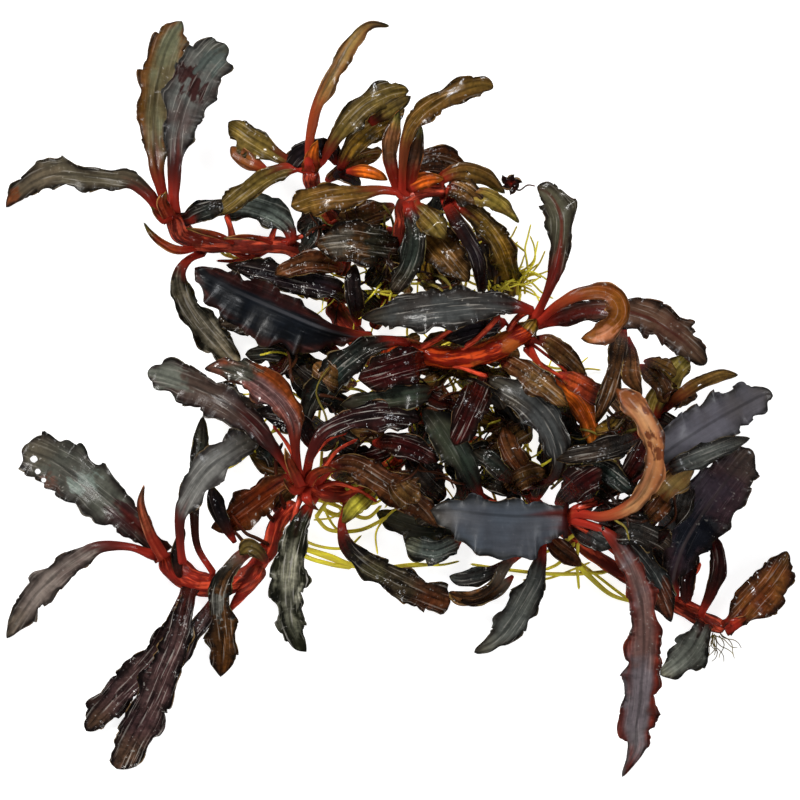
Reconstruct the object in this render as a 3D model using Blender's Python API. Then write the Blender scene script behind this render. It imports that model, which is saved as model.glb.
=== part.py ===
"""A loose clump of bucephalandra, a creeping water plant, lying on a flat surface.

Red rhizomes creep through the clump and end in crowns. Each crown carries long, wavy leaves on red
stalks, and thin roots hang below. Every leaf is laid on what already lies under it, as in a real pile.
Lengths in the tables are millimetres; +X is right and +Y is up in a view from above, +Z is up.
"""

from dataclasses import dataclass
import math

import bpy
import numpy as np
from mathutils import Vector

MM = 0.001

# Thickness of a leaf, from the round stalk to the thin tip
STALK_HALF_DEPTH = 0.6
RIB_HALF_DEPTH = 0.42
TIP_HALF_DEPTH = 0.18
TIP_HALF_WIDTH = 0.3

# Wavy margins: length of one ripple, and how far it moves the outline as a share of the half width
RIPPLE = 5.0
SCALLOP = 0.06
FULL_RIPPLE_WIDTH = 3.0
STALK_WIDTH = 1.0

# Gaps between pieces, and the height map of the pile
GAP = 0.3
REST_GAP = 0.7
CELL = 0.5
MAP_HALF_WIDTH = 84.0
SETTLE_REACH = 14.0
ANCHOR_LENGTH = 6.0

# Cross-sections of the stems and roots
STEM_SIDES = 8
ROOT_SIDES = 6
NODE_SPACING = 3.2
NODE_SWELL = 0.07

LEAF_FINISH = {
    "slate": ((0.075, 0.078, 0.090), 0.35),
    "black": ((0.014, 0.013, 0.018), 0.25),
    "maroon": ((0.045, 0.018, 0.020), 0.30),
    "umber": ((0.105, 0.045, 0.022), 0.35),
    "olive": ((0.120, 0.095, 0.030), 0.40),
    "ochre": ((0.230, 0.130, 0.035), 0.40),
    "amber": ((0.330, 0.130, 0.050), 0.40),
    "green": ((0.030, 0.042, 0.030), 0.35),
    "mauve": ((0.110, 0.075, 0.075), 0.40),
}
STEM_FINISH = ((0.42, 0.045, 0.018), 0.35)
ROOT_FINISH = ((0.52, 0.46, 0.07), 0.55)


@dataclass
class Stem:
    """A rhizome: a round stem with faint rings. Its route's points are (x, y, z, radius)."""

    name: str
    route: list
    flat: bool = False


@dataclass
class Root:
    """A thread-like root. Its route's points are (x, y, z, radius)."""

    name: str
    route: list


@dataclass
class Leaf:
    """One leaf, stalk and blade. Its route's points follow the midrib from foot to tip.

    Each point is (x, y, z, left, right), with the half width of the blade on either side as one looks
    from foot to tip. cup lifts the margins as a share of the half width; wave is the height of the
    margin's ripples; roll turns the whole face about the midrib, in degrees.
    """

    name: str
    stem: str
    finish: str
    route: list
    cup: float = 0.18
    wave: float = 0.6
    roll: float = 0.0


# The clump from the bottom up: each leaf is laid on the pieces that come before it in this list
CLUMP = [
    Stem("rhizome_main", [(-14, 19.2, 2.04, 2.2), (-8, 11.2, 2.04, 2.2), (-1, 2.2, 2.04, 2.2),
                          (8, -5.8, 2.04, 2.2), (18, -11.8, 2.04, 2.2), (25, -18.8, 2.04, 2.2)],
         flat=True),
    Stem("rhizome_se_low", [(25.4, -19.3, 1.8, 1.4), (33, -26.6, 1.7, 1.4), (41, -32.8, 1.7, 1.4),
                            (48, -37.2, 2, 1.5), (53, -39.9, 2.6, 1.6), (57, -42.3, 3.2, 1.6),
                            (61.4, -44.5, 4, 1.6), (65, -46, 5.2, 1.4)]),
    Stem("rhizome_far_east", [(28, -16.4, 2.6, 1.3), (33, -12.9, 3.4, 1.3), (39, -9.3, 5, 1.3),
                              (45, -6.3, 7.4, 1.3), (49.6, -4.3, 10, 1.2)]),
    Root("root_south", [(31, -28.7, 4, 0.55), (34, -31.7, 2.4, 0.6), (38, -35.7, 1.2, 0.55),
                        (42, -39.1, 0.7, 0.45), (46.4, -40.7, 0.5, 0.3)]),
    Root("root_west", [(-20, -29.7, 2.4, 0.5), (-14, -31.7, 1.2, 0.7), (-9.6, -33.3, 0.8, 0.6),
                       (-2, -33.7, 0.6, 0.4), (8, -33.1, 0.5, 0.3)]),
    Leaf("leaf_low_green", "rhizome_se", "green",
         [(14.6, -20.8, 5.4, 0.8, 0.8), (10.4, -25.1, 4.8, 2.2, 2.2), (5, -25.7, 3.5, 3.8, 3.8),
          (0.6, -24.7, 2, 3.2, 3.0), (-4.8, -22.7, 0.5, 0.6, 0.5)], wave=0.5, roll=5),

    Stem("rhizome_sw", [(-20.8, -20.7, 11, 1.5), (-24.4, -24.7, 9.5, 1.7), (-26.4, -30.3, 7.5, 1.8),
                        (-30.4, -35.1, 5.6, 1.8), (-35, -37.5, 5, 2.0), (-40, -36.9, 5, 2.5),
                        (-44.4, -34.3, 6, 2.6), (-47.6, -31.3, 7.6, 2.0)]),
    Leaf("leaf_sw_down_left", "rhizome_sw", "maroon",
         [(-42.8, -38.7, 6, 0.8, 0.8), (-44.4, -43.1, 7, 1.6, 1.6), (-48, -49.7, 6.5, 3.0, 2.4),
          (-52.4, -55.1, 5, 3.4, 3.2), (-57, -59.7, 3, 3.2, 3.2), (-60.6, -63.7, 1, 2.6, 2.6),
          (-62.8, -66.5, 0, 0.8, 0.8)]),
    Leaf("leaf_sw_down_right", "rhizome_sw", "maroon",
         [(-42, -38.7, 7, 0.9, 0.9), (-42.6, -43.1, 9.5, 1.8, 2.4), (-44, -48.7, 10, 2.8, 2.6),
          (-46.4, -54.3, 8.5, 3.2, 3.4), (-49.2, -60.7, 6, 4.2, 3.6), (-52, -66.1, 3.5, 4.2, 3.2),
          (-54.4, -70.7, 1, 3.6, 2.6), (-56, -74.1, 0, 1.4, 1.4)]),
    Leaf("leaf_sw_low", "rhizome_sw", "mauve",
         [(-49.6, -31.1, 9.5, 0.9, 0.9), (-54, -29.7, 12, 0.8, 0.8), (-59.2, -29.9, 13, 1.4, 1.2),
          (-64, -32.3, 11, 2.4, 2.0), (-68.4, -35.7, 8, 2.8, 2.8), (-72.4, -39.7, 5, 2.8, 2.8),
          (-75.6, -44.1, 2, 2.4, 2.0), (-78.2, -48.3, 0, 0.3, 0.3)]),
    Leaf("leaf_sw_big", "rhizome_sw", "slate",
         [(-47.8, -30.3, 8.5, 1.0, 1.0), (-50.8, -27.5, 11, 1.6, 1.6), (-54.8, -23.9, 13, 3.2, 2.8),
          (-60, -19.5, 12, 4.4, 4.2), (-65.2, -15.5, 9, 4.8, 4.6), (-70, -12.5, 5, 4.6, 4.4),
          (-73.6, -11.1, 2, 3.2, 3.0), (-75.4, -10.3, 0, 1.0, 1.0)], wave=0.5),
    Leaf("leaf_sw_grey", "rhizome_sw", "slate",
         [(-43.2, -33.9, 8, 0.8, 0.8), (-43.8, -29.7, 12, 0.8, 0.8), (-44, -23.7, 16, 1.0, 1.4),
          (-42, -19.1, 17.5, 2.2, 3.0), (-38.6, -14.3, 17.5, 3.2, 3.4), (-34, -10.7, 15.5, 3.4, 2.8),
          (-30, -8.3, 13, 2.2, 2.2), (-26.8, -6.5, 10.5, 0.3, 0.3)], wave=0.4),
    Leaf("leaf_sw_brown", "rhizome_sw", "green",
         [(-27.6, -29.7, 9.5, 0.8, 0.8), (-31.4, -31.1, 11.5, 1.2, 1.2), (-34.8, -34.3, 12, 1.8, 1.6),
          (-36.6, -38.7, 11, 2.2, 2.2), (-36.6, -43.1, 8.5, 2.8, 2.0), (-36, -47.9, 5, 3.2, 3.2),
          (-36, -51.9, 2, 2.6, 2.8), (-36.4, -55.7, 0, 0.3, 0.3)]),

    Stem("rhizome_nw", [(-14.5, 20, 2.2, 1.6), (-15.6, 22.6, 3.6, 1.6), (-17.6, 26.6, 6.4, 1.6),
                        (-22, 30.1, 8.4, 1.7), (-28, 30.7, 9, 1.8), (-34, 30.7, 9.4, 1.8),
                        (-39.6, 31.1, 10.6, 1.8), (-43.4, 33.1, 12.8, 2.2), (-45.4, 36.3, 15.6, 1.8)]),
    Leaf("leaf_nw_arc", "rhizome_nw", "slate",
         [(-39.4, 29.1, 8, 0.7, 0.7), (-42.6, 27.7, 9.5, 0.8, 0.8), (-44.6, 24.7, 10, 1.2, 1.6),
          (-44, 20.3, 8.5, 2.4, 2.2), (-41.4, 15.7, 6.5, 3.0, 2.6), (-37.6, 11.3, 4, 3.4, 2.8),
          (-34.4, 7.9, 2, 2.0, 2.4), (-32.8, 6.1, 1, 0.3, 0.3)], wave=0.4),
    Leaf("leaf_nw_left", "rhizome_nw", "slate",
         [(-47.4, 36.1, 14, 0.8, 0.8), (-50, 40.1, 16.5, 1.2, 1.4), (-53.4, 42.5, 17.5, 1.4, 2.0),
          (-57.6, 43.3, 17, 2.4, 2.2), (-63, 43.9, 14.5, 2.8, 1.8), (-68.4, 44.3, 11, 2.6, 3.6),
          (-73, 42.9, 6.5, 2.4, 2.6), (-76.4, 40.3, 2.5, 1.4, 2.0), (-78.8, 37.7, 0, 0.3, 0.3)]),
    Leaf("leaf_nw_tall_back", "rhizome_nw", "olive",
         [(-46.4, 37.7, 15.5, 0.8, 0.8), (-48, 43.3, 16.5, 1.2, 1.2), (-49, 49.3, 16, 1.8, 2.4),
          (-49.2, 55.7, 13.5, 3.2, 4.0), (-48.6, 62.3, 10.5, 3.8, 4.4), (-47, 68.9, 6, 3.4, 4.4),
          (-45.2, 72.9, 2.5, 2.8, 2.4), (-43.6, 75.5, 0, 0.3, 0.3)]),
    Leaf("leaf_nw_tall_front", "rhizome_nw", "slate",
         [(-44.8, 36.1, 17, 0.8, 0.8), (-45.4, 41.3, 20, 1.0, 1.2), (-45.2, 47.3, 21, 1.6, 1.6),
          (-44.8, 53.3, 20.5, 2.6, 3.4), (-43.2, 59.3, 18.5, 4.4, 4.8), (-40.6, 64.9, 15.5, 5.0, 5.0),
          (-37.6, 68.9, 12.5, 4.2, 4.2), (-35, 70.7, 9, 1.2, 1.2)], wave=0.45),
    Leaf("leaf_nw_teal", "rhizome_nw", "green",
         [(-21.4, 31.3, 10.5, 0.7, 0.7), (-22.6, 34.5, 12, 1.6, 1.8), (-26, 36.9, 12.5, 2.8, 3.2),
          (-30.4, 38.3, 11.5, 2.4, 3.8), (-33.6, 38.3, 10, 2.4, 2.6), (-36.2, 37.5, 8, 0.3, 0.3)]),

    Stem("rhizome_east", [(-0.4, 6.7, 5.4, 2.1), (-1.6, 9.2, 10, 2.1), (0.6, 10, 15, 2.1),
                          (5, 8.9, 18.6, 2.2), (10.4, 8.1, 19.6, 2.3), (17, 9.1, 20.4, 2.4),
                          (22.6, 11.9, 21.4, 2.2), (26, 14.7, 22.2, 1.8)]),
    Leaf("leaf_west_dark", "rhizome_main", "black",
         [(-6, 12.5, 5, 0.8, 0.8), (-10, 12.7, 9, 1.6, 1.2), (-16, 14.3, 12.5, 5.2, 1.8),
          (-22, 16.7, 13.5, 7.2, 3.6), (-28.4, 19.5, 12.5, 7.0, 4.0), (-34, 22.1, 10, 5.4, 3.0),
          (-38.4, 24.5, 7, 3.2, 2.0), (-41, 26.1, 5, 0.3, 0.3)]),
    Leaf("leaf_west_black", "rhizome_east", "black",
         [(2.4, 10.7, 18.5, 0.7, 0.7), (-1.4, 11.7, 20, 1.2, 0.8), (-7, 10.1, 20, 2.6, 2.2),
          (-12, 6.5, 18, 3.6, 2.8), (-16, 2.1, 15.5, 3.6, 2.8), (-18.2, -2.1, 13, 2.0, 1.8),
          (-19.2, -6.1, 11, 0.3, 0.3)]),

    Stem("rhizome_north", [(-11.8, 24.4, 3.6, 1.5), (-11.2, 28.6, 5, 1.5), (-12.4, 33.2, 7.6, 1.6),
                           (-15, 38, 11.6, 1.6), (-17.2, 42, 15.4, 1.7), (-18, 45.6, 19, 1.5)]),
    Leaf("leaf_north_olive_upper", "rhizome_north", "olive",
         [(-20.6, 46.7, 17, 0.7, 0.7), (-24, 48.3, 17.5, 1.6, 1.0), (-27.6, 50.1, 16.5, 3.2, 2.0),
          (-30.8, 52.1, 14, 3.6, 2.4), (-33, 53.7, 12, 2.4, 1.8), (-34.8, 54.9, 10, 0.3, 0.3)],
         wave=0.4),
    Leaf("leaf_north_olive_lower", "rhizome_north", "olive",
         [(-20.4, 46.1, 18.5, 0.7, 0.7), (-23.6, 45.7, 19.5, 1.8, 1.2), (-27.6, 43.7, 18.5, 2.2, 1.8),
          (-31.4, 40.9, 16.5, 2.2, 2.0), (-34.4, 38.5, 14, 1.8, 2.0), (-37.2, 36.5, 11.5, 0.3, 0.3)],
         wave=0.4),
    Leaf("leaf_north_arch", "rhizome_north", "olive",
         [(-15.6, 47.3, 19, 0.7, 0.7), (-13.4, 51.7, 22, 1.4, 1.4), (-10.6, 56.1, 23.5, 2.2, 2.6),
          (-7.2, 59.3, 23, 2.6, 2.8), (-3.2, 61.3, 21, 2.4, 2.2), (-0.8, 61.9, 19, 1.6, 1.8),
          (1.2, 61.9, 17, 0.3, 0.3)], wave=0.4),
    Leaf("leaf_north_tall", "rhizome_north", "amber",
         [(-18.2, 44.9, 20, 0.7, 0.7), (-18.4, 51.3, 24, 0.8, 1.0), (-17.4, 57.3, 26.5, 1.0, 1.3),
          (-15.2, 62.5, 27, 1.2, 1.8), (-12.4, 67.3, 26, 1.4, 2.0), (-9.6, 71.7, 24, 1.2, 1.8),
          (-6.4, 74.5, 21, 0.8, 1.0), (-2.6, 74.3, 17, 0.3, 0.3)], cup=1.1),

    Stem("rhizome_ne", [(-5.2, 13.9, 3.2, 1.4), (-3.4, 18.6, 5, 1.4), (-1.6, 24, 8, 1.5),
                        (-0.4, 30, 11.6, 1.5), (0.4, 35, 14.8, 1.5), (1.2, 39.2, 17.6, 1.6),
                        (5, 41.2, 18.8, 1.4), (9.4, 41.6, 19.2, 1.2)]),
    Leaf("leaf_centre_brown", "rhizome_ne", "umber",
         [(1.6, 29.7, 12.4, 0.8, 0.8), (-1.6, 30.1, 15.5, 2.0, 2.2), (-5.6, 30.7, 18, 4.0, 4.2),
          (-10, 31.3, 18, 4.4, 4.2), (-14, 31.1, 16.5, 3.4, 3.0), (-16.8, 30.5, 14.8, 0.4, 0.4)],
         wave=0.5, roll=-8),
    Leaf("leaf_north_ochre", "rhizome_ne", "ochre",
         [(-0.8, 41.3, 19, 0.7, 0.7), (-4.4, 41.5, 21, 1.0, 1.0), (-9, 40.9, 22, 2.4, 1.6),
          (-13.6, 40.3, 21.5, 3.2, 2.4), (-17.6, 39.5, 20, 3.0, 3.2), (-20, 38.7, 18.5, 1.8, 2.2),
          (-21.8, 38.3, 17, 0.3, 0.3)], wave=0.4),
    Leaf("leaf_ne_dark", "rhizome_ne", "green",
         [(1.6, 38.9, 19.5, 0.7, 0.7), (2.6, 34.9, 22, 1.8, 1.8), (2.8, 30.3, 23, 2.4, 2.4),
          (1.4, 25.7, 21.5, 2.6, 2.6), (-0.4, 22.9, 19.5, 1.8, 1.8), (-1.6, 21.1, 17.5, 0.3, 0.3)]),
    Leaf("leaf_ne_long", "rhizome_ne", "amber",
         [(0.4, 41.7, 20, 0.7, 0.7), (0.6, 47.3, 25, 0.9, 0.9), (1.4, 52.3, 29, 1.2, 1.4),
          (4, 56.5, 31, 2.0, 2.2), (8.4, 59.7, 30.5, 2.0, 2.4), (13.2, 61.7, 28, 2.4, 2.2),
          (16.6, 62.5, 25, 1.8, 1.8), (18.6, 61.9, 22, 0.3, 0.3)], wave=0.4),
    Leaf("leaf_ne_hanging", "rhizome_ne", "olive",
         [(9.8, 40.1, 18, 0.7, 0.7), (13.2, 37.7, 19.5, 1.6, 1.4), (17, 34.5, 18.5, 2.6, 2.2),
          (20, 30.3, 15, 2.8, 2.6), (21.8, 25.7, 10, 2.2, 3.0), (22.6, 22.3, 4, 1.6, 2.4),
          (22.8, 20.5, 0, 0.3, 0.3)]),
    Leaf("leaf_ne_olive", "rhizome_ne", "ochre",
         [(11, 41.9, 19.5, 0.7, 0.7), (14, 41.1, 20.5, 1.0, 1.4), (17, 40.3, 19.5, 1.8, 2.2),
          (19.6, 38.9, 17, 1.8, 1.8), (21.6, 37.1, 14, 1.2, 0.8), (23.8, 35.1, 10, 0.3, 0.3)]),

    Stem("rhizome_west", [(4, -8, 3.2, 1.8), (-0.6, -12.4, 5.6, 1.8), (-6, -16.8, 8.6, 1.9),
                          (-12, -18.8, 11.4, 2.0), (-18.6, -17.1, 14.4, 2.0)]),
    Leaf("leaf_west_brown", "rhizome_west", "umber",
         [(-21.4, -15.7, 13.5, 0.8, 0.8), (-24, -16.9, 14, 1.8, 1.8), (-27.6, -19.3, 13, 3.4, 3.0),
          (-31.2, -21.9, 11, 3.8, 3.0), (-34.4, -24.3, 9, 3.2, 2.0), (-37.8, -25.9, 6.5, 0.3, 0.3)]),
    Leaf("leaf_south_green", "rhizome_west", "green",
         [(-18, -21.3, 13, 0.8, 0.8), (-20.2, -25.1, 16, 2.0, 2.0), (-21.8, -30.3, 15.5, 2.6, 2.8),
          (-22.6, -35.7, 12.5, 4.0, 4.0), (-22.8, -40.7, 8.5, 2.8, 3.0), (-22.2, -45.7, 4, 2.6, 2.8),
          (-20.8, -49.1, 1, 1.6, 2.0), (-19.2, -51.3, 0, 0.3, 0.3)]),
    Leaf("leaf_south_brown", "rhizome_west", "umber",
         [(-10.6, -21.7, 8, 0.8, 0.8), (-11.8, -25.7, 11, 0.9, 0.9), (-10.8, -30.1, 11.5, 1.8, 1.6),
          (-6.8, -33.7, 9.5, 2.6, 2.4), (-1.6, -36.5, 6.5, 3.0, 3.0), (3.6, -38.9, 3, 3.0, 3.4),
          (7.6, -40.5, 1, 2.8, 3.0), (9.6, -41.1, 0, 1.8, 1.8)]),
    Leaf("leaf_west_grey", "rhizome_west", "slate",
         [(-21.4, -15.1, 17, 0.8, 0.8), (-24.6, -11.1, 21, 1.0, 1.0), (-28, -7.1, 23.5, 2.2, 2.0),
          (-32.4, -3.1, 24, 3.6, 2.6), (-37.4, 0.1, 22, 4.2, 3.0), (-42.4, 2.3, 19, 3.6, 3.6),
          (-47, 3.9, 15.5, 3.0, 3.4), (-50.4, 4.5, 13, 0.8, 0.8)], wave=0.5),
    Leaf("leaf_west_red", "rhizome_west", "umber",
         [(-20.2, -15.1, 19, 0.8, 0.8), (-20.8, -9.7, 24, 1.0, 0.9), (-21.6, -4.7, 27.5, 1.4, 2.2),
          (-24, -0.7, 28.5, 2.4, 4.0), (-27.6, 2.5, 27.5, 3.0, 3.8), (-31.6, 4.7, 25, 2.2, 3.4),
          (-35.6, 5.9, 22, 1.4, 2.0), (-39, 5.9, 19, 0.3, 0.3)], wave=0.3),
    Leaf("leaf_west_right", "rhizome_west", "maroon",
         [(-18.6, -14.7, 17, 0.8, 0.8), (-17.6, -10.7, 22, 1.0, 1.0), (-15, -6.7, 25, 1.6, 1.6),
          (-10, -4.3, 25.5, 2.2, 2.2), (-4.4, -3.3, 24.5, 2.8, 3.0), (0.4, -3.3, 22.5, 2.4, 3.2),
          (4.6, -4.1, 20, 0.3, 0.3)], wave=0.4),
    Leaf("leaf_centre_mauve", "rhizome_west", "umber",
         [(-16, -16.1, 16, 0.8, 0.8), (-13.4, -13.5, 18.5, 1.2, 1.2), (-9, -13.3, 20, 2.2, 2.2),
          (-4, -16.1, 20, 3.0, 3.4), (0.8, -19.3, 18, 3.2, 3.2), (4.6, -22.3, 15, 2.4, 2.2),
          (7.6, -25.7, 12, 0.3, 0.3)], wave=0.4),

    Stem("rhizome_se", [(12.6, -13.6, 3.4, 1.8), (13.2, -17.6, 7, 1.8), (16.8, -21.2, 11, 1.9),
                        (22, -23.3, 13.4, 2.0), (28, -24.1, 15.4, 2.1), (33.6, -23.5, 17.4, 2.0)]),
    Leaf("leaf_se_green", "rhizome_se_low", "green",
         [(61.2, -44.3, 5.6, 0.7, 0.7), (60, -47.1, 7.5, 2.2, 2.6), (58, -50.3, 6, 3.8, 3.2),
          (55.2, -53.1, 2.5, 3.0, 2.6), (52, -55.3, 0.2, 0.6, 0.5)],
         wave=0.5),
    Leaf("leaf_se_far", "rhizome_se_low", "umber",
         [(65.6, -45.1, 6.8, 0.8, 0.8), (68, -43.1, 8, 1.8, 2.6), (71, -40.1, 8, 3.2, 4.8),
          (74, -36.9, 5.5, 3.0, 4.8), (76.4, -33.5, 2.5, 1.8, 2.8), (78, -30.7, 0, 0.4, 0.5)]),
    Leaf("leaf_se_dark", "rhizome_se_low", "maroon",
         [(54.8, -39.3, 5, 0.8, 0.8), (55, -35.7, 9, 1.8, 1.8), (57, -30.3, 13.5, 4.0, 4.2),
          (60, -24.9, 15, 5.6, 5.6), (63.6, -19.7, 12.5, 5.6, 5.8), (67, -15.3, 8, 4.4, 5.0),
          (69.6, -12.3, 4.5, 2.8, 3.0), (71, -10.9, 2, 0.5, 0.5)], wave=0.5),
    Leaf("leaf_south_slate", "rhizome_se", "slate",
         [(28.6, -26.1, 13.6, 0.7, 0.7), (28.6, -31.1, 12.5, 0.9, 1.2), (27.6, -36.3, 10.5, 2.0, 2.2),
          (25.2, -41.1, 7.5, 3.2, 3.0), (22.4, -45.5, 4, 3.2, 3.2), (19.4, -48.9, 1.5, 2.0, 1.8),
          (15.2, -51.3, 0, 0.6, 0.5)], wave=0.5),
    Leaf("leaf_se_black", "rhizome_se", "black",
         [(36, -24.7, 16.4, 0.7, 0.7), (40.6, -26.7, 18, 1.4, 1.2), (45.4, -29.9, 17.5, 2.8, 2.4),
          (49.6, -34.9, 14.5, 3.2, 3.0), (52.4, -39.9, 10.5, 2.6, 2.6), (54.2, -44.7, 6.5, 0.3, 0.3)]),
    Leaf("leaf_centre_green", "rhizome_se", "green",
         [(16, -19.3, 14, 0.7, 0.7), (14.4, -16.3, 17.5, 1.8, 1.8), (12, -11.7, 21.5, 3.2, 3.2),
          (9, -6.7, 23, 3.4, 3.4), (6.4, -3.1, 22.5, 2.4, 2.4), (4.6, -0.9, 21, 0.3, 0.3)], wave=0.4),
    Leaf("leaf_centre_slate", "rhizome_se", "slate",
         [(34.4, -23.3, 19.6, 0.9, 0.9), (30.4, -23.3, 21.5, 5.0, 2.2), (24, -23.5, 23.5, 8.6, 3.2),
          (17.6, -23.1, 24.5, 8.4, 3.2), (12, -22.5, 23, 5.6, 2.8), (8.6, -22.3, 21.5, 3.2, 1.8),
          (6, -22.3, 20, 0.3, 0.3)], cup=0.05, wave=0.45),
    Leaf("leaf_se_long", "rhizome_se", "mauve",
         [(35.4, -24.5, 19, 0.8, 0.8), (40, -26.1, 23, 0.9, 0.9), (43.8, -29.7, 24, 1.8, 1.6),
          (47, -36.3, 22.5, 2.8, 2.4), (48.6, -43.7, 19, 3.2, 2.6), (48.6, -51.7, 14, 3.6, 3.8),
          (48, -59.7, 8.5, 3.6, 3.4), (47.2, -65.1, 4.5, 3.8, 3.8), (47, -70.3, 1.5, 1.8, 1.6),
          (44.4, -75.7, 0, 0.3, 0.3)]),
    Leaf("leaf_east_olive", "rhizome_far_east", "olive",
         [(50.4, -4.3, 11, 0.8, 0.8), (51.4, -0.7, 13.5, 2.2, 1.6), (53.2, 2.9, 14, 3.0, 2.6),
          (55.4, 6.1, 12, 2.6, 2.6), (58, 8.9, 9, 0.3, 0.3)]),
    Leaf("leaf_east_grey", "rhizome_se", "slate",
         [(36, -21.7, 18.5, 0.8, 0.8), (42, -19.1, 21, 0.8, 0.8), (48, -14.7, 22, 1.2, 1.2),
          (53, -10.7, 21, 3.6, 2.6), (58.4, -7.1, 18, 4.8, 4.4), (64.4, -3.5, 12.5, 4.6, 4.6),
          (70, -0.5, 5.5, 3.8, 3.4), (72.8, 0.7, 2, 1.8, 2.2), (74.6, 0.5, 0, 0.3, 0.3)],
         cup=0.08, wave=0.5),
    Leaf("leaf_centre_grey", "rhizome_main", "slate",
         [(24.4, -17.6, 4.6, 0.8, 0.8), (27, -17.3, 12, 0.8, 0.8), (30, -16.3, 19, 0.8, 0.8),
          (31.8, -13.1, 22.5, 1.6, 1.4), (31, -8.3, 24, 2.8, 2.6), (28.2, -3.3, 24, 3.6, 3.4),
          (24, 0.5, 23, 3.4, 3.2), (20, 2.9, 21, 2.2, 1.8), (17.2, 4.1, 19.5, 0.3, 0.3)], wave=0.4),
    Leaf("leaf_east_orange", "rhizome_east", "amber",
         [(25.4, 11.2, 19.4, 0.7, 0.7), (27.6, 6.9, 20, 0.7, 0.7), (31.2, 2.7, 21, 1.0, 1.0),
          (35, -0.1, 21, 2.2, 1.8), (37.2, -3.7, 19.5, 2.2, 2.2), (38.4, -7.3, 17, 1.6, 1.8),
          (38.4, -10.5, 14.5, 0.3, 0.3)], wave=0.4),
    Leaf("leaf_east_slate", "rhizome_east", "slate",
         [(26.2, 17.5, 24, 0.8, 0.8), (22.4, 18.5, 27, 1.6, 1.6), (16, 18.9, 29, 3.6, 3.0),
          (9, 18.3, 29, 4.6, 3.6), (2, 17.5, 27.5, 4.0, 3.4), (-3.4, 16.7, 25, 2.4, 2.0),
          (-7.8, 16.1, 22.5, 0.3, 0.3)], cup=0.1, wave=0.4),
    Leaf("leaf_east_right", "rhizome_east", "mauve",
         [(29.2, 15.1, 22.5, 0.8, 0.8), (32.4, 16.1, 23.5, 1.6, 1.8), (38, 17.3, 23, 2.6, 2.4),
          (44, 17.1, 20, 2.8, 3.4), (49.6, 15.5, 15.5, 3.8, 3.4), (54.4, 12.5, 9.5, 3.8, 3.0),
          (58, 9.3, 4, 2.6, 2.6), (60.6, 6.5, 0, 0.8, 0.8)]),
    Leaf("leaf_east_up", "rhizome_east", "mauve",
         [(27.4, 16.9, 24.4, 0.8, 0.8), (29, 21.3, 29, 0.9, 0.9), (30.2, 26.3, 32, 1.4, 1.8),
          (31.2, 31.3, 33.5, 2.4, 2.2), (31.4, 35.9, 33, 3.2, 2.8), (30.2, 39.3, 31, 3.0, 3.2),
          (28.4, 41.5, 28.5, 1.8, 2.2), (26.6, 42.5, 26, 0.3, 0.3)], wave=0.4),
    Leaf("leaf_east_curl", "rhizome_east", "amber",
         [(28.6, 16.3, 24.4, 0.8, 0.8), (31.6, 18.7, 27, 1.0, 1.0), (35.4, 20.5, 30, 1.4, 1.2),
          (39.6, 21.3, 33, 1.8, 1.8), (43, 19.9, 34.5, 2.2, 2.4), (43.8, 16.7, 34, 1.8, 2.6),
          (41.4, 13.7, 32, 2.4, 2.2), (38.4, 12.3, 30, 1.6, 1.6), (36, 11.9, 28.5, 0.3, 0.3)],
         cup=0.5, wave=0.3),
    Leaf("leaf_se_curl", "rhizome_se", "amber",
         [(35.6, -22.9, 19.6, 0.8, 0.8), (40.4, -23.5, 24, 1.0, 1.0), (45.2, -21.7, 28, 1.2, 1.6),
          (48.6, -18.1, 31.5, 1.6, 2.2), (50.6, -13.3, 34, 2.0, 2.4), (50.4, -8.3, 34.5, 2.0, 2.2),
          (48.4, -3.7, 33.5, 2.4, 2.4), (45.6, -0.3, 31.5, 2.0, 2.2), (42.8, 1.9, 29.5, 0.3, 0.3)],
         cup=0.5, wave=0.3),
]


def smooth_route(points, shares):
    """Rows at given shares of the length of a Catmull-Rom curve through the route's own points."""
    known = np.array(points, float)
    padded = np.vstack([2 * known[0] - known[1], known, 2 * known[-1] - known[-2]])
    steps = np.linspace(0, 1, 16, endpoint=False)[:, None]
    spans = []
    for a, b, c, d in zip(padded, padded[1:], padded[2:], padded[3:]):
        spans.append(0.5 * (2 * b + (c - a) * steps + (2 * a - 5 * b + 4 * c - d) * steps**2
                            + (3 * b - a - 3 * c + d) * steps**3))
    fine = np.vstack(spans + [known[-1:]])
    length = length_along(fine[:, :3])
    wanted = np.asarray(shares) * length[-1]
    return np.column_stack([np.interp(wanted, length, column) for column in fine.T])


def length_along(line):
    return np.concatenate([[0], np.cumsum(np.linalg.norm(np.diff(line, axis=0), axis=1))])


def unit(vectors):
    return vectors / np.linalg.norm(vectors, axis=-1, keepdims=True)


def frames_along(line, roll=0.0):
    """Side and face directions at each point: the face looks up, then turns about the line by roll."""
    tangent = unit(np.gradient(line, axis=0))
    side = unit(np.cross(tangent, (0.0, 0.0, 1.0)))
    face = np.cross(side, tangent)
    turn = math.radians(roll)
    return (side * math.cos(turn) + face * math.sin(turn), face * math.cos(turn) - side * math.sin(turn))


def tube_rings(route, shares, sides, swell=0.0):
    """Rings of a round stem, each with a flat facet underneath."""
    curve = smooth_route(route, shares)
    side, face = frames_along(curve[:, :3])
    angles = 2 * math.pi * (np.arange(sides) + 0.5) / sides
    around = -side[:, None] * np.sin(angles)[:, None] - face[:, None] * np.cos(angles)[:, None]
    radii = curve[:, 3] * (1 + swell)
    radii[[0, -1]] *= 0.8
    return curve[:, None, :3] + around * radii[:, None, None]


def stem_rings(stem):
    """A stem with a slight swelling at every other station, where a leaf once grew, and blunt ends."""
    length = length_along(np.array(stem.route, float)[:, :3])[-1]
    count = 2 * round(length / NODE_SPACING) + 1
    swell = 0 if stem.flat else NODE_SWELL * (-1.0) ** np.arange(count)
    return tube_rings(stem.route, np.linspace(0, 1, count), STEM_SIDES, swell)


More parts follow.
